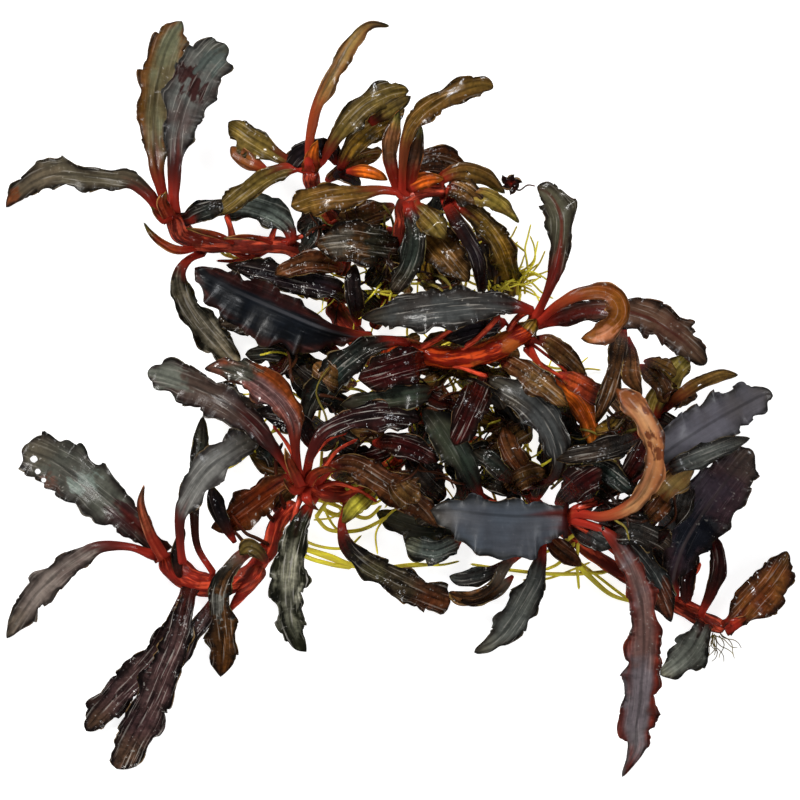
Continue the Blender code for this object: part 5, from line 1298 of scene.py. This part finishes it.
# West crown
# The crown in the left middle: long leaves that arch out to all sides over those laid before. Four short
# red scales wrap its heart, and thin stalks without blades stand between the leaves.
ash_red = leaf_look("ash_red", "leaf_slate", (0.053, 0.034, 0.026), (0.029, 0.014, 0.011),
    (0.07, 0.046, 0.034), (0.1, 0.08, 0.05), (0.04, 0.007, 0.006), patchy=0.45, base=0.72, silver=0.25,
    side=(0.02, 0.01, 0.009), sides=0.9, stains_and_light_spots=((-47, 4.9, 5.5, (0.105, 0.11, 0.09)),), **matt)
ebony = leaf_look("ebony", "leaf_green", (0.308, 0.297, 0.214), (0.108, 0.104, 0.07),
    (0.081, 0.086, 0.05), (0.1, 0.09, 0.05), silver=0.9, contrast=0.9, folds=0.8, crinkle=0.4,
    side=(0.012, 0.012, 0.006), sides=1, wide=(3.6, 1.4),
    stains_and_light_spots=((-18.2, -27, 5.5, (0.016, 0.014, 0.006)),))
black_red = leaf_look("black_red", "leaf_maroon", (0.012, 0.006, 0.006), (0.02, 0.005, 0.005),
    (0.016, 0.01, 0.009), (0.2, 0.11, 0.05), (0.05, 0.006, 0.005), base=0.62, silver=0.9, contrast=0.9,
    folds=0.8, crinkle=0.5, side=(0.03, 0.007, 0.006), sides=0.7)
rust = leaf_look("rust", "leaf_umber", (0.059, 0.05, 0.023), (0.037, 0.024, 0.014), (0.088, 0.024, 0.008),
    (0.22, 0.13, 0.05), WINE, silver=0.4, stains_and_light_spots=((-10, -29.7, 4.4, (0.012, 0.01, 0.008)),), **crumpled)
red_brown = leaf_look("red_brown", "leaf_umber", (0.084, 0.012, 0.002), (0.05, 0.012, 0.003),
    (0.118, 0.031, 0.003), (0.12, 0.065, 0.025), WINE, silver=0.1, side=(0.09, 0.03, 0.008), sides=0.6)
russet = leaf_look("russet", "leaf_umber", (0.102, 0.052, 0.05), (0.085, 0.028, 0.021),
    (0.059, 0.047, 0.034), (0.12, 0.05, 0.02), (0.13, 0.012, 0.006), base=0.5, silver=0.15,
    side=(0.16, 0.026, 0.007), sides=0.4, flank=((0.19, 0.04, 0.007), 0.9, 2.4),
    stains_and_light_spots=((-32, 7, 5, (0.045, 0.043, 0.032)),))

stamp(stem_rings["rhizome_west"], pile, crowd)
grow_leaf("leaf_west_brown", "rhizome_west", red_brown, [
    (-21.4, -15.7, 13.5, 0.8), (-24, -16.9, 14, 1.8), (-27.6, -19.3, 13, 3.4, 3),
    (-31.2, -21.9, 11, 3.8, 3), (-34.4, -24.3, 9, 3.2, 2), (-37.8, -25.9, 6.5, 0.3),
])
grow_leaf("leaf_south_green", "rhizome_west", ebony, [
    (-18, -21.3, 13, 0.8), (-19.9, -24.8, 16, 2), (-21.3, -29.7, 15.5, 2.6, 2.8),
    (-22.1, -35.1, 12.5, 4), (-22.3, -40.1, 8.5, 2.8, 3), (-21.7, -45.1, 4, 2.6, 2.8),
    (-20.3, -48.5, 1, 1.6, 2), (-18.7, -50.7, 0, 0.3),
])
grow_leaf("leaf_south_brown", "rhizome_west", rust, [
    (-10.6, -21.7, 8, 0.8), (-11.6, -25.6, 11, 0.9), (-10.3, -29.8, 11.5, 1.8, 1.6),
    (-6.3, -33.4, 9.5, 2.6, 2.4), (-1.1, -36.2, 6.5, 3), (4.1, -38.6, 3, 3, 3.4),
    (8.1, -40.2, 1, 2.8, 3), (10.1, -40.8, 0, 1.8),
])
grow_leaf("small_ink_west", "rhizome_west", ink, [
    (-17, -10.3, 14, 0.7), (-19.4, -5.9, 17, 2.2), (-23.4, -3.5, 17.5, 2.6), (-28.8, -2.3, 15, 0.4),
])
grow_leaf("leaf_west_grey", "rhizome_west", ash_red, [
    (-21.4, -15.1, 17, 0.8), (-24.6, -10.8, 21, 1), (-28, -6.5, 23.5, 2.2, 2),
    (-32.4, -2.5, 24, 3.6, 2.6), (-37.4, 0.7, 22, 4.2, 3), (-42.4, 2.9, 19, 3.6),
    (-47, 4.5, 15.5, 3, 3.4), (-50.4, 5.1, 13, 0.8),
], wave=0.5)
grow_leaf("leaf_west_red", "rhizome_west", russet, [
    (-20.2, -15.1, 19, 0.8), (-20.8, -9.7, 24, 1, 0.9), (-21.6, -4.7, 27.5, 1.4, 2.2),
    (-24, -0.7, 28.5, 2.4, 4), (-27.6, 2.5, 27.5, 3, 3.8), (-31.6, 4.7, 25, 2.2, 3.4),
    (-35.6, 5.9, 22, 1.4, 2), (-39, 5.9, 19, 0.3),
], wave=0.3)
grow_leaf("leaf_west_right", "rhizome_west", black_red, [
    (-18.6, -14.7, 17, 0.8), (-17.6, -10.7, 22, 1), (-15, -6.7, 25, 1.6), (-10, -4.3, 25.5, 2.2),
    (-4.4, -3.3, 24.5, 2.8, 3), (0.4, -3.3, 22.5, 2.4, 3.2), (4.6, -4.1, 20, 0.3),
], wave=0.4)
grow_leaf("small_plum_centre", "rhizome_west", maroon, [
    (-5.4, -8.9, 16, 0.6), (-1, -8.9, 17.5, 2.3), (3.4, -10.3, 17.5, 2.7), (7.6, -12.7, 16, 0.4),
])
grow_leaf("leaf_centre_mauve", "rhizome_west", umber, [
    (-16, -16.1, 16, 0.8), (-13.4, -13.5, 18.5, 1.2), (-9, -13.3, 20, 2.2), (-4, -16.1, 20, 3, 3.4),
    (0.8, -19.3, 18, 3.2), (4.6, -22.3, 15, 2.4, 2.2), (7.6, -25.7, 12, 0.3),
], wave=0.4)

fleshy_tubes("stalks_west", [
    [(-19.8, -17.3, 15.6, 0.7), (-20.4, -13.7, 18, 0.5), (-22.4, -9.3, 19.5, 0.4),
     (-25.4, -5.3, 19, 0.3)],
    [(-18.8, -16.3, 16, 0.7), (-17.8, -12.3, 19, 0.5), (-14.4, -8.3, 21, 0.4), (-10.4, -6.7, 21, 0.3)],
    [(-18.2, -17.1, 15.4, 0.6), (-15.4, -13.9, 18.4, 0.45), (-12.4, -10.3, 19.6, 0.4),
     (-8.4, -8.1, 19.4, 0.3)],
    [(-19.6, -18.9, 14.4, 0.8), (-20.6, -21.9, 15.4, 0.6), (-21.6, -25.7, 15, 0.5),
     (-21.2, -30.3, 12, 0.4)],
    [(-16.6, -17.9, 15, 0.6), (-13, -16.9, 17, 0.5), (-8.6, -18.1, 17.4, 0.4), (-4.4, -20.7, 15.6, 0.3)],
], red_stem, "rhizome", sides=12, step=0.5)
for number, route in enumerate((
    [(-19.6, -17.9, 16.4, 0.9), (-20.8, -15.1, 19.6, 1.2, 1.0), (-22.2, -12.3, 21, 0.8),
     (-23, -9.7, 21.4, 0.1)],
    [(-18.4, -17.3, 16.4, 0.8), (-17, -15.3, 19, 1.1, 1.0), (-15, -14.3, 20.4, 0.9, 0.7),
     (-12.6, -14.1, 20.8, 0.1)],
    [(-19.2, -18.9, 15.6, 0.9), (-18.4, -20.3, 16.6, 0.9, 0.8), (-17.4, -21.5, 16.8, 0.6, 0.5),
     (-16.2, -22.3, 16.4, 0.1)],
    [(-20, -18.5, 15.6, 0.9), (-21.2, -18.1, 17, 0.9, 0.8), (-22.4, -17.1, 17.6, 0.6, 0.5),
     (-23.2, -15.9, 17.6, 0.1)],
)):
    grow_leaf(f"sheath_west_{number}", "rhizome_west", bract, route, cup=0.9, wave=0.1)


# South-east and east crowns
# The two highest crowns. Their leaves lie over all the others, and two have curled over, one salmon and
# one copper. The shoot below them ends in a bud with leaves of its own.
slate_dark = leaf_look("slate_dark", "leaf_slate", (0.042, 0.044, 0.043), (0.026, 0.02, 0.017),
    (0.057, 0.048, 0.032), (0.09, 0.06, 0.03), silver=0.4, contrast=0.5, rough=0.22, folds=0.6,
    crinkle=0.3)
# The bluish grey faces of these two looks are partly painted sheen, the broad reflection on their flat wet
# blades.
violet = leaf_look("violet", "leaf_slate", (0.046, 0.054, 0.067), (0.036, 0.037, 0.044),
    (0.048, 0.042, 0.037), (0.1, 0.06, 0.03), WINE, patchy=0.6, silver=0, specks_and_glints=0.08, contrast=0.2,
    rough=0.36, folds=0.12, crinkle=0.05, side=(0.02, 0.02, 0.018), sides=0.7)
violet_grey = leaf_look("violet_grey", "leaf_slate", (0.09, 0.085, 0.102), (0.061, 0.053, 0.06),
    (0.083, 0.068, 0.058), (0.11, 0.06, 0.03), WINE, patchy=0.6, silver=0.03, specks_and_glints=0.1, contrast=0.2,
    rough=0.36, folds=0.15, crinkle=0.05, side=(0.024, 0.022, 0.02), sides=0.8)
# The near-black spot of this look is painted shading in a fold of the blade.
grey_teal = leaf_look("grey_teal", "leaf_green", (0.137, 0.146, 0.122), (0.069, 0.072, 0.059),
    (0.149, 0.136, 0.087), (0.11, 0.085, 0.04), silver=0.15, contrast=0.5, rough=0.22,
    stains_and_light_spots=((62.6, -48.7, 2.8, (0.012, 0.013, 0.01)),))
# Its pale pinkish rib colour is a painted highlight along the midrib.
plum_black = leaf_look("plum_black", "leaf_maroon", (0.032, 0.021, 0.029), (0.049, 0.022, 0.026),
    (0.064, 0.042, 0.031), (0.09, 0.05, 0.025), silver=0.05, contrast=0.5, rough=0.22, folds=0.25,
    rib=(0.085, 0.06, 0.062), stains_and_light_spots=((59, -26.7, 6.5, (0.008, 0.009, 0.014)),))
rust_red = leaf_look("rust_red", "leaf_umber", (0.134, 0.046, 0.01), (0.085, 0.014, 0.005),
    (0.105, 0.049, 0.012), (0.13, 0.07, 0.02), WINE, silver=0.3, side=(0.024, 0.008, 0.004), sides=0.9)
salmon = leaf_look("salmon", "leaf_amber", (0.417, 0.203, 0.083), (0.315, 0.115, 0.038),
    (0.22, 0.07, 0.017), (0.34, 0.17, 0.07), (0.3, 0.05, 0.016), silver=0.05, contrast=0.25, rough=0.34,
    folds=0.2, crinkle=0.1, groove=0.12, side=(0.23, 0.06, 0.02), sides=0.6,
    stains_and_light_spots=((51.8, -6.7, 1.9, (0.11, 0.03, 0.01)), (52.2, -11.7, 1.7, (0.11, 0.03, 0.01)),
            (50.2, -2.3, 2, (0.11, 0.03, 0.01)), (44.4, 0.7, 4.2, (0.17, 0.052, 0.013))))
mauve = leaf_look("mauve", "leaf_mauve", (0.051, 0.047, 0.029), (0.033, 0.023, 0.013),
    (0.072, 0.063, 0.039), (0.12, 0.07, 0.035), (0.1, 0.01, 0.006), base=0.72, silver=0.25, contrast=0.5,
    rough=0.22, rib=(0.2, 0.014, 0.01))
mauve_red = leaf_look("mauve_red", "leaf_mauve", (0.139, 0.114, 0.123), (0.113, 0.041, 0.024),
    (0.106, 0.1, 0.093), (0.17, 0.028, 0.01), (0.09, 0.014, 0.009), silver=0.1, side=(0.12, 0.014, 0.007),
    sides=0.9, flank=((0.125, 0.016, 0.008), -1.6, -3), **matt)
plum_red = leaf_look("plum_red", "leaf_mauve", (0.096, 0.048, 0.029), (0.052, 0.018, 0.012),
    (0.116, 0.067, 0.039), (0.13, 0.06, 0.03), (0.1, 0.01, 0.006), base=0.5, silver=0.3, contrast=0.5,
    rough=0.22, rib=(0.1, 0.012, 0.008))

stamp(stem_rings["rhizome_se"], pile, crowd)
grow_leaf("small_maroon_far", "rhizome_se_low", maroon, [
    (60.2, -42.9, 6, 0.6), (62.4, -38.1, 9, 1.3), (63.6, -33.3, 11, 1.8), (63.2, -29.7, 10.5, 1.4),
    (62.2, -26.9, 9.5, 0.3),
])
grow_leaf("bud_far", "rhizome_se_low", bract, [
    (64.8, -46.2, 6.2, 1.2), (67.4, -44.7, 7.6, 1), (69.6, -43.3, 8.2, 0.15),
], cup=1, wave=0)
grow_leaf("small_olive_a", "rhizome_main", umber, [
    (26, -15.7, 9, 0.5), (23.6, -12.7, 12, 1.9), (21.6, -9.3, 13, 2.4), (20.4, -5.3, 11.5, 0.4),
])
grow_leaf("small_olive_b", "rhizome_main", bottle, [
    (24, -17.7, 9, 0.5), (20.4, -14.7, 12, 1.7), (17.4, -12.1, 12.5, 1.8), (14.4, -10.1, 11, 0.3),
])
grow_leaf("small_twisted_south", "rhizome_se", moss, [
    (24, -30.3, 8, 0.5), (21, -33.7, 8, 1, 1.3), (18.4, -37.3, 7, 1.3, 1), (14.4, -39.5, 5, 1, 1.4),
    (9.6, -38.7, 3.5, 0.3),
], roll=(0, 70))
grow_leaf("leaf_se_green", "rhizome_se_low", grey_teal, [
    (61.2, -44.3, 5.6, 0.7), (60, -47.1, 7.5, 2.2, 2.6), (58, -50.3, 6, 3.8, 3.2),
    (55.2, -53.1, 2.5, 3, 2.6), (52, -55.3, 0.2, 0.6, 0.5),
], wave=0.5)
grow_leaf("leaf_se_far", "rhizome_se_low", rust_red, [
    (65.6, -45.1, 6.8, 0.8), (67.7, -43, 8, 2, 2.8), (70.4, -39.9, 8, 3.4, 5),
    (73.4, -36.7, 5.5, 3.2, 5), (75.8, -33.3, 2.5, 2, 3), (77.4, -30.5, 0, 0.4, 0.5),
])
grow_leaf("leaf_se_dark", "rhizome_se_low", plum_black, [
    (54.8, -39.3, 5, 0.8), (54.7, -35.5, 9, 1.8), (56.4, -29.9, 13.5, 4, 4.2), (59.4, -24.5, 15, 5.6),
    (63, -19.3, 12.5, 5.6, 5.8), (66.4, -14.9, 8, 4.4, 5), (69, -11.9, 4.5, 2.8, 3),
    (70.4, -10.5, 2, 0.5),
], wave=0.5)
grow_leaf("leaf_south_slate", "rhizome_se", slate, [
    (28.6, -26.1, 13.6, 0.7), (28.4, -30.9, 12.5, 0.9, 1.2), (27.2, -35.8, 10.5, 2, 2.2),
    (24.8, -40.6, 7.5, 3.2, 3), (22, -45, 4, 3.2), (19, -48.4, 1.5, 2, 1.8), (14.8, -50.8, 0, 0.6, 0.5),
], wave=0.5)
grow_leaf("leaf_se_black", "rhizome_se", soot, [
    (36, -24.7, 16.4, 0.7), (40.6, -26.7, 18, 1.4, 1.2), (45.4, -29.9, 17.5, 2.8, 2.4),
    (49.6, -34.9, 14.5, 3.2, 3), (52.4, -39.9, 10.5, 2.6), (54.2, -44.7, 6.5, 0.3),
])
grow_leaf("leaf_centre_green", "rhizome_se", deep_green, [
    (16, -19.3, 14, 0.7), (14.4, -16.3, 17.5, 1.8), (12, -11.7, 21.5, 3.2), (9, -6.7, 23, 3.4),
    (6.4, -3.1, 22.5, 2.4), (4.6, -0.9, 21, 0.3),
], wave=0.4)
grow_leaf("leaf_centre_slate", "rhizome_se", violet, [
    (34.4, -23.3, 19.6, 0.9), (30.4, -23.3, 21.5, 5, 2.2), (24, -23.5, 23.5, 8.6, 3.2),
    (17.6, -23.1, 24.5, 8.4, 3.2), (12, -22.5, 23, 5.6, 2.8), (8.6, -22.3, 21.5, 3.2, 1.8),
    (6, -22.3, 20, 0.3),
], cup=0.05, wave=0.45)
grow_leaf("leaf_se_long", "rhizome_se", mauve_red, [
    (35.4, -24.5, 19, 0.8), (40, -26.1, 23, 0.9), (43.8, -29.7, 24, 1.8, 1.6),
    (47, -36.3, 22.5, 2.8, 2.4), (48.6, -43.7, 19, 3.2, 2.6), (48.6, -51.7, 14, 3.6, 3.8),
    (48, -59.7, 8.5, 3.6, 3.4), (47.2, -65.1, 4.5, 3.8), (47, -70.3, 1.5, 1.8, 1.6),
    (44.4, -75.7, 0, 0.3),
])
grow_leaf("leaf_east_olive", "rhizome_far_east", (honey[0], "leaf_olive"), [
    (50.4, -4.3, 11, 0.8), (51.4, -0.7, 13.5, 2.2, 1.6), (53.2, 2.9, 14, 3, 2.6), (55.4, 6.1, 12, 2.6),
    (58, 8.9, 9, 0.3),
])
grow_leaf("small_maroon_high", "rhizome_se", maroon, [
    (44, -17.9, 20, 0.7), (46, -14.3, 21, 1.8), (48, -10.7, 20.5, 2.3), (49.6, -7.3, 19, 0.4),
])
grow_leaf("leaf_east_grey", "rhizome_se", violet_grey, [
    (36, -21.7, 18.5, 0.8), (42, -19.1, 21, 0.8), (48, -14.7, 22, 1.2), (53, -10.7, 21, 3.6, 2.6),
    (58.4, -7.1, 18, 4.8, 4.4), (64.4, -3.5, 12.5, 4.6), (70, -0.5, 5.5, 3.8, 3.4),
    (72.8, 0.7, 2, 1.8, 2.2), (74.6, 0.5, 0, 0.3),
], cup=0.08, wave=0.5)
grow_leaf("leaf_centre_grey", "rhizome_main", slate_dark, [
    (24.4, -17.6, 4.6, 0.8), (27, -17.3, 12, 0.8), (30, -16.3, 19, 0.8), (31.8, -13.1, 22.5, 1.6, 1.4),
    (31, -8.3, 24, 2.8, 2.6), (28.2, -3.3, 24, 3.6, 3.4), (24, 0.5, 23, 3.4, 3.2),
    (20, 2.9, 21, 2.2, 1.8), (17.2, 4.1, 19.5, 0.3),
], wave=0.4)
grow_leaf("small_maroon_crumpled", "rhizome_east", maroon, [
    (17, 5.1, 15, 0.6), (15.6, 1.3, 17, 2.6), (13.8, -2.7, 17.4, 3.4), (12, -6.7, 16, 2.4),
    (10.8, -9.5, 14.5, 0.4),
])
grow_leaf("small_olive_centre", "rhizome_east", cinnamon, [
    (19.6, 8.3, 16, 0.7), (23.4, 6.1, 17.5, 2.2), (27.4, 3.3, 17.5, 2.8), (31, 0.5, 15.5, 2),
    (33.4, -1.7, 14, 0.3),
])
grow_leaf("small_umber_centre", "rhizome_east", cinnamon, [
    (23.6, 11.1, 18, 0.5), (27, 11.7, 19, 0.8), (30, 10.9, 19, 1.8), (33, 8.5, 18, 2.2),
    (35.6, 5.9, 16.5, 1.3), (37, 4.1, 15.5, 0.3),
])
grow_leaf("small_red_centre", "rhizome_east", bract, [
    (31.6, 4.9, 16.5, 0.6), (35, 3.3, 18.5, 2), (38.4, 1.3, 18.5, 2.5), (41, 0.3, 17, 1.2),
    (42.4, -0.1, 16.5, 0.3),
])
grow_leaf("small_twisted_east", "rhizome_east", moss, [
    (44.8, 14.7, 14, 0.5), (43.8, 10.3, 15.5, 1.7, 1.9), (42.8, 5.3, 15, 2, 1.7),
    (41.2, 0.3, 13, 1.7, 2), (39, -5.1, 10, 0.3),
])
grow_leaf("small_umber_east", "rhizome_east", cinnamon, [
    (45.4, 12.3, 12, 0.5), (46, 8.3, 13, 1.6), (46.2, 4.3, 12.5, 1.8), (48.2, 0.5, 10.5, 0.3),
])
grow_leaf("small_tan_east", "rhizome_far_east", ochre, [
    (52, -2.9, 10, 0.6), (56, 0.7, 12, 1.2), (60, 3.1, 12, 1.4, 1.2), (64, 4.7, 9.5, 1.2, 1.4),
    (67.6, 4.7, 7, 0.3),
])
grow_leaf("leaf_east_orange", "rhizome_east", orange, [
    (25.4, 11.2, 19.4, 0.7), (27.6, 6.9, 20, 0.7), (31.2, 2.7, 21, 1), (35, -0.1, 21, 2.2, 1.8),
    (37.2, -3.7, 19.5, 2.2), (38.4, -7.3, 17, 1.6, 1.8), (38.4, -10.5, 14.5, 0.3),
], wave=0.4)
grow_leaf("small_ink_centre", "rhizome_east", ink, [
    (21, 15.3, 21, 0.6), (17.6, 14.5, 22, 2.2), (13, 13.3, 22.4, 2.7), (8.4, 11.9, 21.6, 0.4),
])
grow_leaf("leaf_east_slate", "rhizome_east", slate_dark, [
    (26.2, 17.5, 24, 0.8), (22.4, 18.5, 27, 1.6), (16, 18.9, 29, 3.6, 3), (9, 18.3, 29, 4.6, 3.6),
    (2, 17.5, 27.5, 4, 3.4), (-3.4, 16.7, 25, 2.4, 2), (-7.8, 16.1, 22.5, 0.3),
], cup=0.1, wave=0.4)
grow_leaf("leaf_east_right", "rhizome_east", plum_red, [
    (29.2, 15.1, 22.5, 0.8), (32.6, 16.3, 23.5, 1.6, 1.8), (38.4, 17.7, 23, 2.6, 2.4),
    (44.4, 17.5, 20, 2.8, 3.4), (50, 15.9, 15.5, 3.8, 3.4), (54.8, 12.9, 9.5, 3.8, 3),
    (58.4, 9.7, 4, 2.6), (61, 6.9, 0, 0.8),
])
grow_leaf("sheath_east", "rhizome_east", olive_brown, [
    (22.8, 10.1, 23, 1.2), (24.4, 12.3, 24.4, 2.1), (26, 14.3, 24.6, 1.7), (27.2, 15.9, 24.6, 0.3),
], cup=0.6, wave=0.2)
grow_leaf("leaf_east_up", "rhizome_east", mauve, [
    (27.4, 16.9, 24.4, 0.8), (29.4, 21.2, 29, 0.9), (30.9, 26, 32, 1.4, 1.8), (31.9, 31, 33.5, 2.4, 2.2),
    (32.1, 35.6, 33, 3.2, 2.8), (30.9, 39, 31, 3, 3.2), (29.1, 41.2, 28.5, 1.8, 2.2),
    (27.3, 42.2, 26, 0.3),
], wave=0.4)
grow_leaf("leaf_east_curl", "rhizome_east", copper, [
    (28.6, 16.3, 24.4, 0.8), (31.6, 18.7, 27, 1), (35.4, 20.5, 30, 1.4, 1.2), (39.6, 21.3, 33, 1.8),
    (43, 19.9, 34.5, 2.2, 2.4), (43.8, 16.7, 34, 1.8, 2.6), (41.4, 13.7, 32, 2.4, 2.2),
    (38.4, 12.3, 30, 1.6), (36, 11.9, 28.5, 0.3),
], cup=0.5, wave=0.3)
grow_leaf("leaf_se_curl", "rhizome_se", salmon, [
    (35.6, -22.9, 19.6, 0.8), (40.4, -23.5, 24, 1), (45.2, -21.7, 28, 1.2, 1.6),
    (48.6, -18.1, 31.5, 1.6, 2.2), (50.6, -13.3, 34, 2, 2.4), (50.4, -8.3, 34.5, 2, 2.2),
    (48.4, -3.7, 33.5, 2.4), (45.6, -0.3, 31.5, 2, 2.2), (42.8, 1.9, 29.5, 0.3),
], cup=0.5, wave=0.3)

fleshy_tubes("stalks_east", [
    [(12, 9.7, 22.4, 0.7), (16, 12.5, 24, 0.6), (20, 16.7, 25.4, 0.5)],
    [(4, 10, 20.6, 0.7), (8, 12.3, 22.4, 0.6), (12, 14.9, 24, 0.5)],
    [(8, 7.5, 20, 0.6), (13, 5.9, 21, 0.5), (17.4, 4.3, 21.4, 0.45)],
    [(21.4, 13.1, 22.4, 0.8), (23.4, 16.1, 23.4, 0.6), (26, 17.5, 24, 0.5)],
    [(24.6, 10.3, 21, 0.6), (27.8, 7.1, 21, 0.45), (33.4, 3.5, 20.4, 0.4)],
    [(24.8, 11.9, 21, 0.4), (28.6, 9.1, 20, 0.3), (33.4, 5.3, 18, 0.3)],
], red_stem, "rhizome", sides=12, step=0.5)
fleshy_tubes("stalks_south_east", [
    [(35, -22, 20, 0.8), (40, -20.5, 22, 0.7), (44, -17.7, 23, 0.6)],
    [(35, -23.4, 19, 0.7), (42, -23.3, 20, 0.6), (48, -21.7, 20, 0.5)],
    [(55, -37.7, 6, 0.6), (59, -34.7, 8, 0.5), (60, -32.7, 9, 0.4)],
    [(55.6, -39.7, 5.4, 0.6), (58.4, -41.1, 6.4, 0.5), (61, -42.3, 6, 0.4)],
    [(34.6, -24.7, 18.4, 0.7), (38.6, -27.3, 19, 0.6), (43.4, -31.3, 18, 0.4)],
], red_stem, "rhizome", sides=12, step=0.5)


# Dried flower
# A withered flower: six curled dark red scales on a thin thread that has caught on the tip of the east
# crown's upright leaf.
fleshy_tubes("dry_flower_stalk", [
    [(27, 42.3, 26, 0.14), (25.4, 42.5, 24.6, 0.16), (23.8, 41.5, 23, 0.18), (22.4, 42.3, 22, 0.3)],
], brown_stalk, "leaf_maroon", sides=10, step=0.25)
FLOWER_HEART = np.array((22.2, 42.9, 21.6))
for number, (turn, steep, length) in enumerate((
    (0.3, 0.2, 2.2), (1.5, 0.5, 1.8), (2.6, 0.1, 2.4), (3.7, 0.4, 2), (4.8, 0, 2.3), (5.7, 0.6, 1.7),
)):
    away = np.array((math.cos(turn), math.sin(turn), steep)) * length
    aside = np.array((-math.sin(turn), math.cos(turn), 0.0))
    scale = [(*(FLOWER_HEART + away * reach + aside * bow).tolist(), half)
             for reach, bow, half in ((0, 0, 0.3), (0.35, 0.2, 0.75), (0.7, 0, 0.7), (1, -0.5, 0.15))]
    grow_leaf(f"dry_flower_{number}", "rhizome_ne", maroon, scale, cup=0.9, wave=1.0,
              roll=25 * (number % 3 - 1), ruffle=1.5)


# Roots under the far bud
# A tuft of young olive threads, a quarter of a millimetre thick, that grow down from the lower right shoot.
fleshy_tubes("roots_far", [
    wander(about(62, 2), about(-46.5, -1), -1.2 + draw.normal(0, 0.4), about(4, 3), 0.4, 5.0, 0.13)
    for _ in range(12)
], olive_stalk, "leaf_olive", sides=6, step=0.4, lumps=0)
